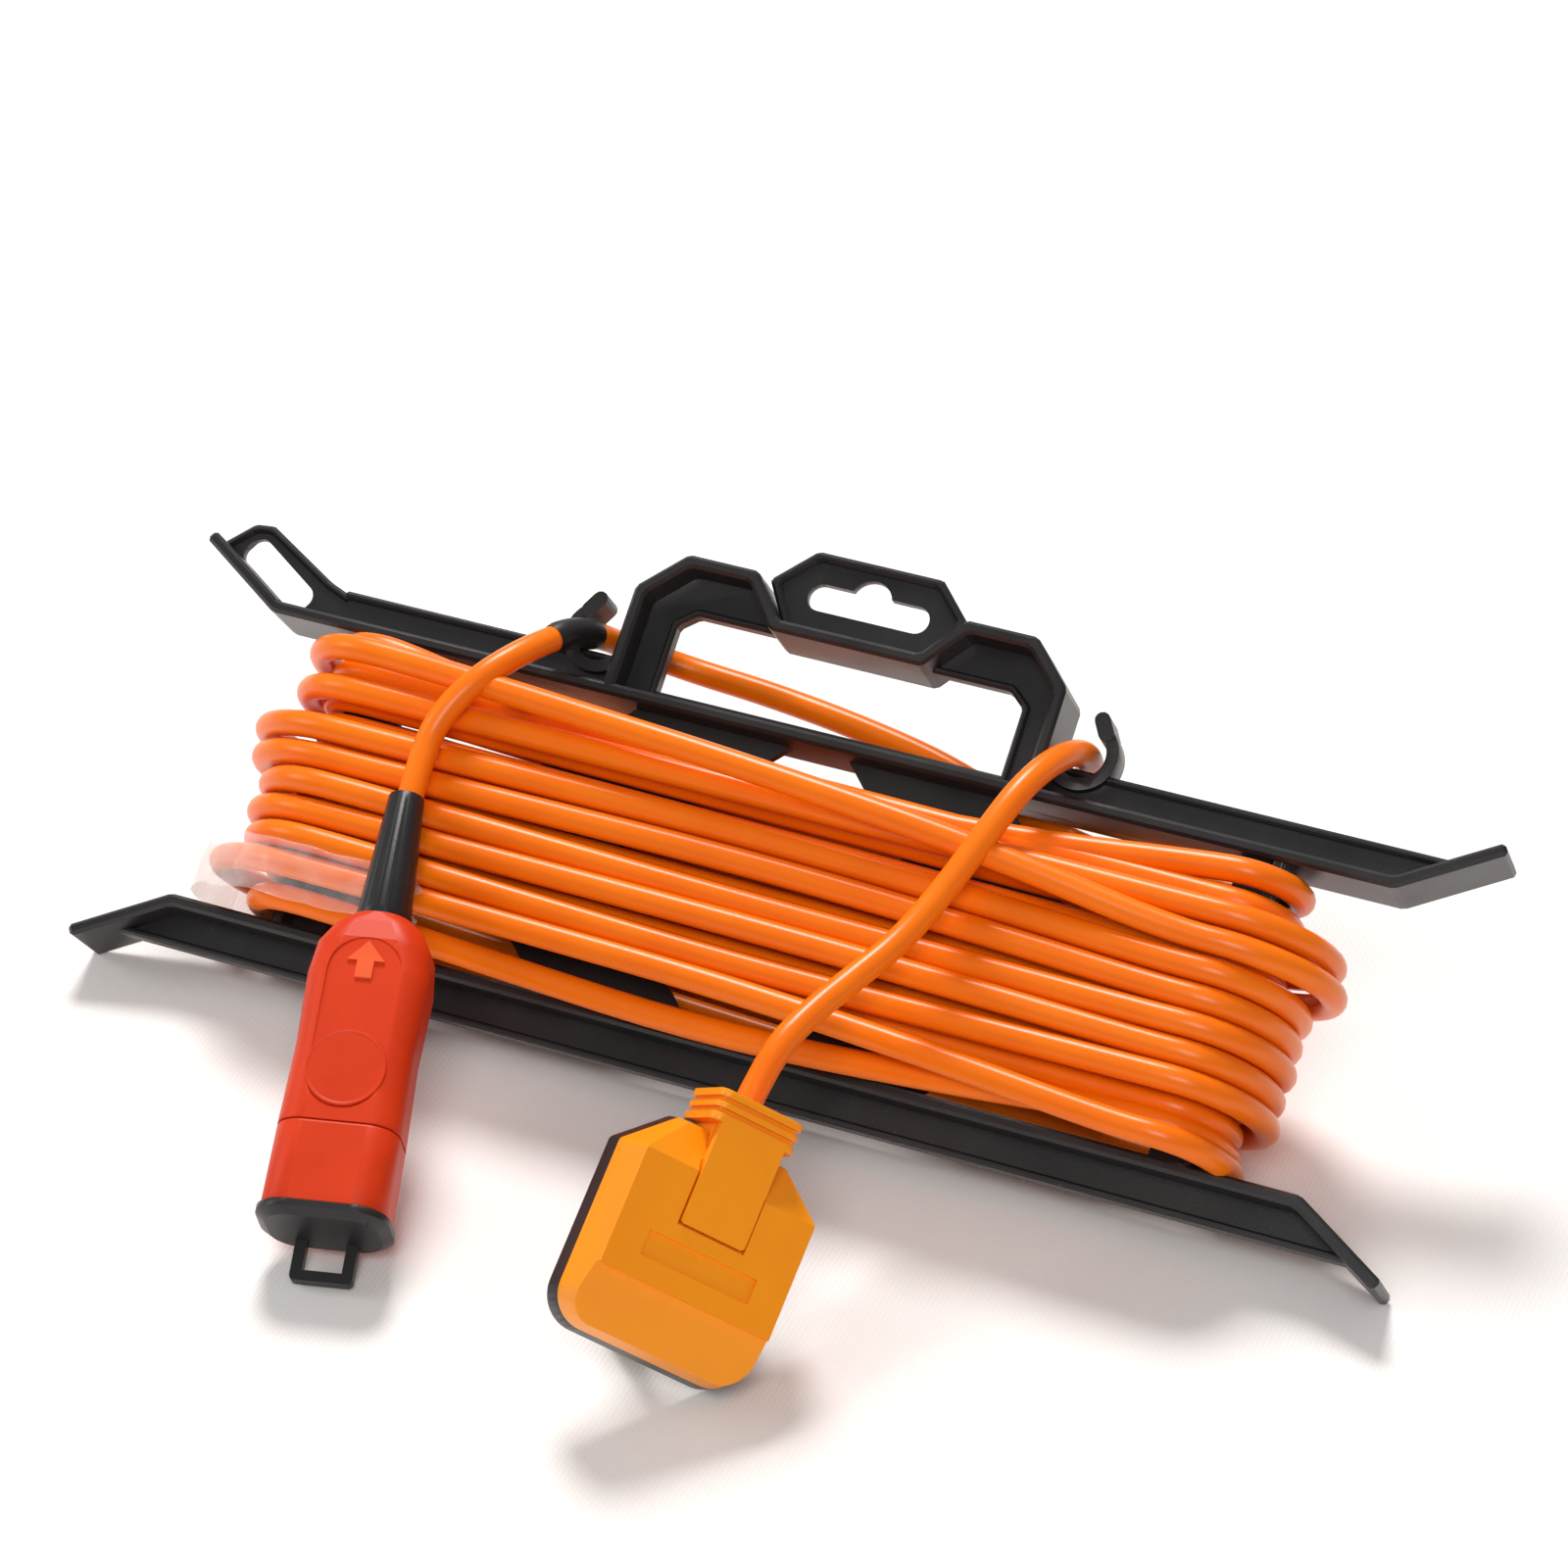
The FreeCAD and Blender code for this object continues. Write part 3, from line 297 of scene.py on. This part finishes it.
sleeve_last = min(range(TAIL_POINTS), key=lambda i: (lead_line[i] - SLEEVE_ENDS_NEAR).length)
sleeve_first, run = sleeve_last, 0.0
while run < SLEEVE_LONG:
    sleeve_first -= 1
    run += (lead_line[sleeve_first + 1] - lead_line[sleeve_first]).length


def ring_place(i):
    """The matrix that sets a circle of radius 1 square on the line at point i, at the sleeve's size."""
    forward = (lead_line[i + 1] - lead_line[i - 1]).normalized()
    side = forward.cross(Vector((0, 0, 1))).normalized()
    turn = Matrix((side, side.cross(forward), forward)).transposed().to_4x4()
    radius = SLEEVE_LIP_R if i in (sleeve_first, sleeve_last) else SLEEVE_R
    return Matrix.Translation(lead_line[i]) @ turn @ Matrix.Scale(radius, 4)


print("the sleeve covers points", sleeve_first, "to", sleeve_last)

# %% Marker sleeve along the line
sleeve_bm = bmesh.new()
bmesh.ops.create_circle(sleeve_bm, segments=24, radius=1.0, matrix=ring_place(sleeve_first))
ring_edges = sleeve_bm.edges[:]
for i in range(sleeve_first + 1, sleeve_last + 1):
    grown = bmesh.ops.extrude_edge_only(sleeve_bm, edges=ring_edges)["geom"]
    ring = {part for part in grown if isinstance(part, bmesh.types.BMVert)}
    ring_edges = [part for part in grown if isinstance(part, bmesh.types.BMEdge) and ring.issuperset(part.verts)]
    step = ring_place(i) @ ring_place(i - 1).inverted()
    bmesh.ops.transform(sleeve_bm, matrix=step, verts=list(ring))
bmesh.ops.recalc_face_normals(sleeve_bm, faces=sleeve_bm.faces)
sleeve_mesh = bpy.data.meshes.new("marker_sleeve")
sleeve_bm.to_mesh(sleeve_mesh)
sleeve_bm.free()
sleeve_mesh.shade_smooth()
marker_sleeve = add_object("marker_sleeve", sleeve_mesh)
print("marker sleeve has", len(sleeve_mesh.polygons), "faces")

# %% [markdown]
# ## Shared surface effects
# Moulded plastic is never quite even: it has a fine grain, slow changes in gloss, and a little
# dust. One node group makes these once, and each material sets its own amounts. The next cells
# are short helpers, so that the node trees read as a few lines each.


# %% Helpers for nodes
def math_node(tree, operation, a, b):
    node = tree.nodes.new("ShaderNodeMath")
    node.operation = operation
    for socket, value in zip(node.inputs, (a, b)):
        if isinstance(value, (int, float)):
            socket.default_value = value
        else:
            tree.links.new(value, socket)
    return node.outputs[0]


def ramp(tree, value, low, high, low_to, high_to):
    """Spread a value between low and high over the range from low_to to high_to."""
    node = tree.nodes.new("ShaderNodeMapRange")
    limits = {"From Min": low, "From Max": high, "To Min": low_to, "To Max": high_to}
    for name, number in limits.items():
        node.inputs[name].default_value = number
    tree.links.new(value, node.inputs["Value"])
    return node.outputs["Result"]


def noise_node(tree, place, scale, detail=2.0, roughness=0.5):
    node = tree.nodes.new("ShaderNodeTexNoise")
    node.inputs["Detail"].default_value = detail
    node.inputs["Roughness"].default_value = roughness
    if isinstance(scale, (int, float)):
        node.inputs["Scale"].default_value = scale
    else:
        tree.links.new(scale, node.inputs["Scale"])
    tree.links.new(place, node.inputs["Vector"])
    return node.outputs["Fac"]


def object_place(tree):
    return tree.nodes.new("ShaderNodeTexCoord").outputs["Object"]


def add_bump(tree, height, shader, distance, strength=1.0):
    relief = tree.nodes.new("ShaderNodeBump")
    relief.inputs["Strength"].default_value = strength
    relief.inputs["Distance"].default_value = distance
    tree.links.new(height, relief.inputs["Height"])
    tree.links.new(relief.outputs["Normal"], shader.inputs["Normal"])


def new_material(name):
    material = bpy.data.materials.new(name)
    material.use_nodes = True
    return material, material.node_tree, material.node_tree.nodes["Principled BSDF"]


print("helpers for maths, ranges, noise, relief and materials are ready")

# %% The group's sockets
moulded = bpy.data.node_groups.new("moulded surface", "ShaderNodeTree")
for socket_name, amount in (("Grain Scale", 1800.0), ("Grain", 0.3), ("Gloss Change", 0.1), ("Dust", 0.1)):
    socket = moulded.interface.new_socket(name=socket_name, in_out="INPUT", socket_type="NodeSocketFloat")
    socket.default_value = amount
for socket_name in ("Roughness Change", "Height", "Tint", "Dust Mask"):
    moulded.interface.new_socket(name=socket_name, in_out="OUTPUT", socket_type="NodeSocketFloat")
group_in = moulded.nodes.new("NodeGroupInput")
group_out = moulded.nodes.new("NodeGroupOutput")
print("node group", moulded.name, "has", len(moulded.interface.items_tree), "sockets")

# %% Grain, gloss and tint inside it
group_place = object_place(moulded)
grain = noise_node(moulded, group_place, group_in.outputs["Grain Scale"])
slow = noise_node(moulded, group_place, 45.0, detail=3.0)
uneven = math_node(moulded, "SUBTRACT", slow, 0.5)
gloss = math_node(moulded, "MULTIPLY", uneven, group_in.outputs["Gloss Change"])
grain_height = math_node(moulded, "MULTIPLY", grain, group_in.outputs["Grain"])
moulded.links.new(gloss, group_out.inputs["Roughness Change"])
moulded.links.new(grain_height, group_out.inputs["Height"])
moulded.links.new(slow, group_out.inputs["Tint"])
print("grain, gloss and tint are linked")

# %% Dust inside it: small specks that gather in patches
specks = noise_node(moulded, group_place, 900.0, detail=4.0, roughness=0.7)
patches = noise_node(moulded, group_place, 30.0)
speck_mask = ramp(moulded, specks, 0.66, 0.74, 0.0, 1.0)
patch_mask = ramp(moulded, patches, 0.45, 0.7, 0.0, 1.0)
both = math_node(moulded, "MULTIPLY", speck_mask, patch_mask)
dust_mask = math_node(moulded, "MULTIPLY", both, group_in.outputs["Dust"])
moulded.links.new(dust_mask, group_out.inputs["Dust Mask"])
print("node group", moulded.name, "has", len(moulded.nodes), "nodes")

# %% [markdown]
# A material with this group has two shades of its colour, which change slowly over the surface,
# and grey dust laid over them. Numbers that are the same everywhere, such as the specular level,
# are set on the shader itself.

# %% A plastic that uses the group
DUST_COLOUR = (0.5, 0.48, 0.45, 1)


def mix_colours(tree, share, a, b):
    """A mix of two colours, each fixed or from a socket."""
    node = tree.nodes.new("ShaderNodeMix")
    node.data_type = "RGBA"
    tree.links.new(share, node.inputs[0])
    for socket, colour in ((node.inputs[6], a), (node.inputs[7], b)):
        if isinstance(colour, tuple):
            socket.default_value = colour
        else:
            tree.links.new(colour, socket)
    return node.outputs[2]


def plastic(name, colour, deeper, roughness, grain_scale, grain, bump, gloss_change=0.12, dust=0.1, specular=0.5):
    material, tree, shader = new_material(name)
    surface = tree.nodes.new("ShaderNodeGroup")
    surface.node_tree = moulded
    amounts = {"Grain Scale": grain_scale, "Grain": grain, "Gloss Change": gloss_change, "Dust": dust}
    for socket_name, amount in amounts.items():
        surface.inputs[socket_name].default_value = amount
    shade = ramp(tree, surface.outputs["Tint"], 0.3, 0.62, 0.0, 1.0)
    clean = mix_colours(tree, shade, (*deeper, 1), (*colour, 1))
    dusty = mix_colours(tree, surface.outputs["Dust Mask"], clean, DUST_COLOUR)
    tree.links.new(dusty, shader.inputs["Base Color"])
    rough = math_node(tree, "ADD", surface.outputs["Roughness Change"], roughness)
    tree.links.new(rough, shader.inputs["Roughness"])
    add_bump(tree, surface.outputs["Height"], shader, bump)
    shader.inputs["Specular IOR Level"].default_value = specular
    return material


print("every plastic uses the group", moulded.name)

# %% [markdown]
# ## Finishes
# The holder is black polypropylene with a soft sheen, the lead is smooth PVC with a wet-looking
# streak of light along it, the plug is a warmer orange with a fine satin, and the socket is red
# and almost matt. The insulated parts between them are black rubber. The small numbers are the
# grain's scale and amount, and the height of its relief in metres.

# %% Holder and lead
holder_black = plastic(
    "holder polypropylene", (0.017, 0.016, 0.017), (0.012, 0.011, 0.012), 0.34,
    grain_scale=1500.0, grain=0.5, bump=0.00006, gloss_change=0.22, dust=0.22, specular=0.45,
)
cord_orange = plastic(
    "lead PVC", (0.95, 0.19, 0.002), (0.90, 0.16, 0.002), 0.30,
    grain_scale=700.0, grain=0.3, bump=0.00002, gloss_change=0.08, dust=0.05, specular=0.32,
)
black_rubber = plastic(
    "black rubber", (0.013, 0.012, 0.013), (0.009, 0.009, 0.010), 0.40,
    grain_scale=1900.0, grain=0.5, bump=0.00005, gloss_change=0.15, dust=0.12, specular=0.45,
)
cord_data.materials.append(cord_orange)
sleeve_mesh.materials.append(black_rubber)
print("holder, lead and rubber have their finish")

# %% Plug and socket, whose raised arrow is a paler red
plug_orange = plastic(
    "plug cover", (0.95, 0.31, 0.003), (0.92, 0.28, 0.003), 0.36,
    grain_scale=2200.0, grain=0.4, bump=0.00003, gloss_change=0.08, dust=0.06, specular=0.35,
)
socket_red = plastic(
    "socket shell", (0.66, 0.042, 0.006), (0.60, 0.036, 0.005), 0.42,
    grain_scale=2600.0, grain=0.6, bump=0.00005, gloss_change=0.08, dust=0.06, specular=0.22,
)
paler_arrow_red = plastic(
    "socket arrow", (0.84, 0.115, 0.03), (0.78, 0.09, 0.02), 0.48,
    grain_scale=2600.0, grain=0.6, bump=0.00005, gloss_change=0.08, dust=0.06, specular=0.2,
)
fuse_ceramic = plastic(
    "fuse ceramic", (0.86, 0.85, 0.8), (0.82, 0.8, 0.75), 0.3, grain_scale=900.0, grain=0.2, bump=0.00001
)
print("plug, socket and fuse have their finish")


# %% Metals, with faint drawing marks
def metal(name, colour, roughness):
    deeper = tuple(0.9 * channel for channel in colour)
    material = plastic(
        name, colour, deeper, roughness, grain_scale=2600.0, grain=0.4, bump=0.00001, gloss_change=0.15, dust=0.05
    )
    material.node_tree.nodes["Principled BSDF"].inputs["Metallic"].default_value = 1.0
    return material


pin_brass = metal("drawn brass", (0.78, 0.62, 0.32), 0.25)
steel = metal("zinc plated steel", (0.62, 0.62, 0.63), 0.3)
print("metals:", pin_brass.name, "and", steel.name)

# %% [markdown]
# Clear film is seen mostly by its highlights and its edges. Its alpha is low, rises a little in
# the creases, and rises more where it turns away, as real film looks whiter there.

# %% Clear film
film_clear, tree, shader = new_material("clear film")
shader.inputs["Base Color"].default_value = (0.97, 0.95, 0.93, 1)
shader.inputs["Coat Weight"].default_value = 0.6
shader.inputs["Coat Roughness"].default_value = 0.05
creases = noise_node(tree, object_place(tree), 140.0, detail=3.0)
facing = tree.nodes.new("ShaderNodeLayerWeight")
facing.inputs["Blend"].default_value = 0.35
veil = ramp(tree, creases, 0.35, 0.65, 0.03, 0.10)
edge_veil = math_node(tree, "MULTIPLY", facing.outputs["Facing"], 0.35)
tree.links.new(math_node(tree, "ADD", veil, edge_veil), shader.inputs["Alpha"])
tree.links.new(ramp(tree, creases, 0.3, 0.7, 0.06, 0.16), shader.inputs["Roughness"])
add_bump(tree, creases, shader, 0.0003)
print("finishes:", len(bpy.data.materials))

# %% [markdown]
# ## Dressing the CAD pieces
# A moulding's edges are never sharp: each catches a thin line of light. The CAD meshes are loose
# triangles, so a Weld modifier joins them, a planar Decimate takes out the lines inside flat
# faces, and a Bevel modifier rounds what is left. The meshes themselves stay as they are.

# %% Finish of each CAD node, and its edge's width in millimetres
FINISH = {
    "winding_frame": (holder_black, 0.35),
    "plug_base": (black_rubber, 0.4),
    "plug_cover": (plug_orange, 0.22),
    "plug_cable_sleeve": (plug_orange, 0.25),
    "pin_earth": (pin_brass, 0.15),
    "pin_neutral": (pin_brass, 0.15),
    "pin_live": (pin_brass, 0.15),
    "pin_sleeves": (black_rubber, 0),
    "terminal_screws": (pin_brass, 0),
    "fuse_body": (fuse_ceramic, 0),
    "fuse_caps": (pin_brass, 0),
    "fuse_clips": (pin_brass, 0),
    "plug_cord_grip": (black_rubber, 0),
    "plug_grip_screws": (steel, 0),
    "plug_cover_screw": (steel, 0.15),
    "connector_body": (socket_red, 0.1),
    "connector_nose": (socket_red, 0.3),
    "connector_insert": (black_rubber, 0),
    "connector_boot": (black_rubber, 0.25),
    "contact_tubes": (pin_brass, 0),
    "contact_screws": (pin_brass, 0),
    "connector_cable_clamp": (black_rubber, 0),
    "clamp_screws": (steel, 0),
    "body_screw": (steel, 0.15),
    "end_cap": (black_rubber, 0.4),
}
print("finishes for", len(FINISH), "CAD nodes")

# %% Each node gets its finish and its edges
WELD_WITHIN = 0.000002
FLAT_BELOW = math.radians(1.0)
EDGE_ABOVE = math.radians(32)


def round_edges(piece, width):
    weld = piece.modifiers.new("weld", "WELD")
    weld.merge_threshold = WELD_WITHIN
    flat = piece.modifiers.new("flat faces", "DECIMATE")
    flat.decimate_type = "DISSOLVE"
    flat.angle_limit = FLAT_BELOW
    edge = piece.modifiers.new("edges", "BEVEL")
    edge.width = width
    edge.segments = 2
    edge.limit_method = "ANGLE"
    edge.angle_limit = EDGE_ABOVE
    edge.harden_normals = True
    edge.use_clamp_overlap = True


for name, (material, edge_mm) in FINISH.items():
    for slot in nodes[name].material_slots:
        slot.material = material
    if edge_mm:
        round_edges(nodes[name], edge_mm / 1000)
print("rounded the edges of", sum(edge_mm > 0 for _, edge_mm in FINISH.values()), "nodes")

# %% [markdown]
# ## Raised marks on the socket
# The socket's shell has a round plain disc and an arrow that points along the lead. Both are thin
# plates with a soft edge. Each starts as one flat face, which is extruded level by level and
# shrunk a little each time, and the finished pair is then set on the leaning socket.

# %% The socket's own directions: side, up along it, and out of its face
SOCKET_END = Vector((-59.292, -127.099, 13.821))
SOCKET_UP = Vector((-0.21944, 0.86561, 0.45008)).normalized()
SOCKET_LOOKS = Vector((0.112, -0.461, 0.880))
SOCKET_FACE = (SOCKET_LOOKS - SOCKET_UP * SOCKET_LOOKS.dot(SOCKET_UP)).normalized()
SOCKET_SIDE = SOCKET_UP.cross(SOCKET_FACE)
socket_turn = Matrix((SOCKET_SIDE, SOCKET_UP, SOCKET_FACE)).transposed().to_4x4()
SOCKET_PLACE = Matrix.Scale(MM, 4) @ Matrix.Translation(SOCKET_END) @ socket_turn
print("the socket leans", round(math.degrees(math.asin(SOCKET_UP.z)), 1), "degrees")


# %% The disc, grown from one round face
def grow_plate(bm, face, centre, levels):
    """Extrude a face through (size, height) levels; a size is a share of the first outline's."""
    middle = Matrix.Translation((-centre[0], -centre[1], 0))
    for (size_before, height_before), (size, height) in zip(levels, levels[1:]):
        grown = bmesh.ops.extrude_face_region(bm, geom=[face])["geom"]
        bmesh.ops.delete(bm, geom=[face], context="FACES_ONLY")
        top = [part for part in grown if isinstance(part, bmesh.types.BMVert)]
        (face,) = [part for part in grown if isinstance(part, bmesh.types.BMFace)]
        ratio = size / size_before
        bmesh.ops.scale(bm, vec=(ratio, ratio, 1), space=middle, verts=top)
        bmesh.ops.translate(bm, vec=(0, 0, height - height_before), verts=top)


DISC_Y, DISC_R = 33.0, 9.4
DISC_LEVELS = [(1.0, 9.5), (1.0, 10.22), (0.985, 10.42), (0.95, 10.46), (0.925, 10.4), (0.9, 10.34)]

marks_bm = bmesh.new()
disc_at = Matrix.Translation((0, DISC_Y, DISC_LEVELS[0][1]))
bmesh.ops.create_circle(marks_bm, cap_ends=True, segments=64, radius=DISC_R, matrix=disc_at)
(disc_face,) = marks_bm.faces
grow_plate(marks_bm, disc_face, (0.0, DISC_Y), DISC_LEVELS)
print("the disc has", len(marks_bm.faces), "faces")

# %% The arrow, grown from its outline
ARROW = [(-2.0, 55.6), (2.0, 55.6), (2.0, 60.0), (4.4, 60.0), (0.0, 65.0), (-4.4, 60.0), (-2.0, 60.0)]
ARROW_CENTRE = (0.0, 60.0)
ARROW_LEVELS = [(1.0, 9.4), (1.0, 10.12), (0.95, 10.22)]
ARROW_STARTS_Y = 50.0

arrow_face = marks_bm.faces.new([marks_bm.verts.new((x, y, ARROW_LEVELS[0][1])) for x, y in ARROW])
grow_plate(marks_bm, arrow_face, ARROW_CENTRE, ARROW_LEVELS)
for face in marks_bm.faces:
    face.material_index = int(face.calc_center_median().y > ARROW_STARTS_Y)
print("disc and arrow have", len(marks_bm.faces), "faces")

# %% Both set on the leaning socket, as one piece
bmesh.ops.transform(marks_bm, matrix=SOCKET_PLACE, verts=marks_bm.verts)
bmesh.ops.recalc_face_normals(marks_bm, faces=marks_bm.faces)
marks_mesh = bpy.data.meshes.new("socket_marks")
marks_bm.to_mesh(marks_mesh)
marks_bm.free()
marks_mesh.materials.append(socket_red)
marks_mesh.materials.append(paler_arrow_red)
socket_marks = add_object("socket_marks", marks_mesh)
print("socket marks use", len(marks_mesh.materials), "finishes")

# %% [markdown]
# ## The film strip
# A strip of clear film holds the lower left bends together. It is a flat grid first, which is
# then wrapped: straight along the front, then round the end of the winding. Its free end is torn,
# so it is ragged there and stands off a little. Noise gives it its slow ripples.

# %% The strip's sizes, in millimetres
FILM_R = 28.6  # from the middle of the bends to the film's front
FILM_OUT = 31.6  # from there to its outermost place
FILM_MIDDLE_N = -2.2
FILM_RUN = 34.0  # the straight part
FILM_TURN = math.radians(118)
FILM_LOW_V = -34.2
FILM_WIDE = 13.6
TORN_PART = 1 / 7  # the share of the strip that is ragged
RAGGED = 7.0
STANDS_OFF = 1.6
EDGE_WAVE = 0.8
RIPPLE_HIGH = 0.4
print("the strip is about", round(FILM_RUN + FILM_R * FILM_TURN), "mm long")


# %% Wrap a grid round the bends
def wrapped(along, across):
    """The place of a point of the strip: both shares run from 0 to 1, and 0 along is the torn end."""
    torn = max(0.0, 1 - along / TORN_PART)
    run = FILM_RUN + RAGGED * noise.noise(Vector((across * 3.1, 0.3, 0.0))) * torn
    far = along * (run + FILM_R * FILM_TURN)
    v = FILM_LOW_V + across * FILM_WIDE
    v += EDGE_WAVE * noise.noise(Vector((far / 9.0, across * 2.0, 4.0)))
    ripple = RIPPLE_HIGH * noise.noise(Vector((far / 8.0, v / 6.0, 0.0))) + STANDS_OFF * torn * torn
    angle = max(0.0, far - run) / FILM_R
    u = -BEND_U + max(0.0, run - far) - (FILM_OUT + ripple) * math.sin(angle)
    return on_holder(u, v, FILM_MIDDLE_N + (FILM_R + ripple) * math.cos(angle))


film_bm = bmesh.new()
bmesh.ops.create_grid(film_bm, x_segments=80, y_segments=20, size=0.5)
for vert in film_bm.verts:
    vert.co = wrapped(vert.co.x + 0.5, vert.co.y + 0.5)
bmesh.ops.recalc_face_normals(film_bm, faces=film_bm.faces)
film_mesh = bpy.data.meshes.new("film_strip")
film_bm.to_mesh(film_mesh)
film_bm.free()
film_mesh.shade_smooth()
film_mesh.materials.append(film_clear)
film_strip = add_object("film_strip", film_mesh)
film_strip.modifiers.new("thickness", "SOLIDIFY").thickness = 0.00015
print("film strip has", len(film_mesh.polygons), "faces")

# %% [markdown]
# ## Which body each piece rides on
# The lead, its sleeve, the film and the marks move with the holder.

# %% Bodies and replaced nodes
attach(lead, "cord_set")
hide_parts("cord_winding", "cord_socket_tail", "cord_plug_tail")
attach(socket_marks, "cord_set")
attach(marker_sleeve, "cord_set")
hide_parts("cord_marker_sleeve")
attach(film_strip, "cord_set")
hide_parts("clear_film_band")
print("four new pieces ride on the holder's body")

# %% [markdown]
# ## Floor and light
# The photograph has a white cloth under the object and warm soft shadows to the front and right,
# so the key light is a wide lamp high up behind the object at the left, with a weaker one in
# front and a weak one at the left. Fine ribs give the cloth a faint relief.

# %% White cloth floor
bpy.ops.mesh.primitive_plane_add(size=14, location=(0, 3, 0))
floor = bpy.context.object
floor.name = "floor"
cloth, tree, shader = new_material("white cloth")
shader.inputs["Roughness"].default_value = 0.9
shader.inputs["Base Color"].default_value = (0.90, 0.88, 0.87, 1)
ribs = tree.nodes.new("ShaderNodeTexWave")
ribs.bands_direction = "X"
ribs.inputs["Scale"].default_value = 260.0
ribs.inputs["Distortion"].default_value = 0.3
tree.links.new(object_place(tree), ribs.inputs["Vector"])
add_bump(tree, ribs.outputs["Fac"], shader, 0.0002, strength=0.25)
floor.data.materials.append(cloth)
print("the floor is", tuple(round(side, 1) for side in floor.dimensions[:2]), "m")

# %% Lamps
LAMPS_AIM_AT = Vector((0, 0, 0.03))


def lamp(name, place, size, power, colour):
    data = bpy.data.lights.new(name, "AREA")
    data.shape = "DISK"
    data.size = size
    data.energy = power
    data.color = colour
    thing = add_object(name, data)
    thing.location = place
    thing.rotation_euler = (LAMPS_AIM_AT - Vector(place)).to_track_quat("-Z", "Y").to_euler()


lamp("key", (-0.65, 1.2, 1.95), 0.8, 52, (1.0, 0.975, 0.95))
lamp("front", (0.5, -1.5, 1.7), 1.0, 20, (1.0, 0.98, 0.96))
lamp("left", (-1.6, -0.5, 1.0), 0.8, 7, (1.0, 0.98, 0.96))

# %% World light from all sides, and plain colours
world = bpy.context.scene.world or bpy.data.worlds.new("world")
bpy.context.scene.world = world
world.use_nodes = True
sky = world.node_tree.nodes["Background"]
sky.inputs["Color"].default_value = (1.0, 0.99, 0.98, 1)
sky.inputs["Strength"].default_value = 0.27
bpy.context.scene.view_settings.view_transform = "Standard"
print("world light:", round(sky.inputs["Strength"].default_value, 2))
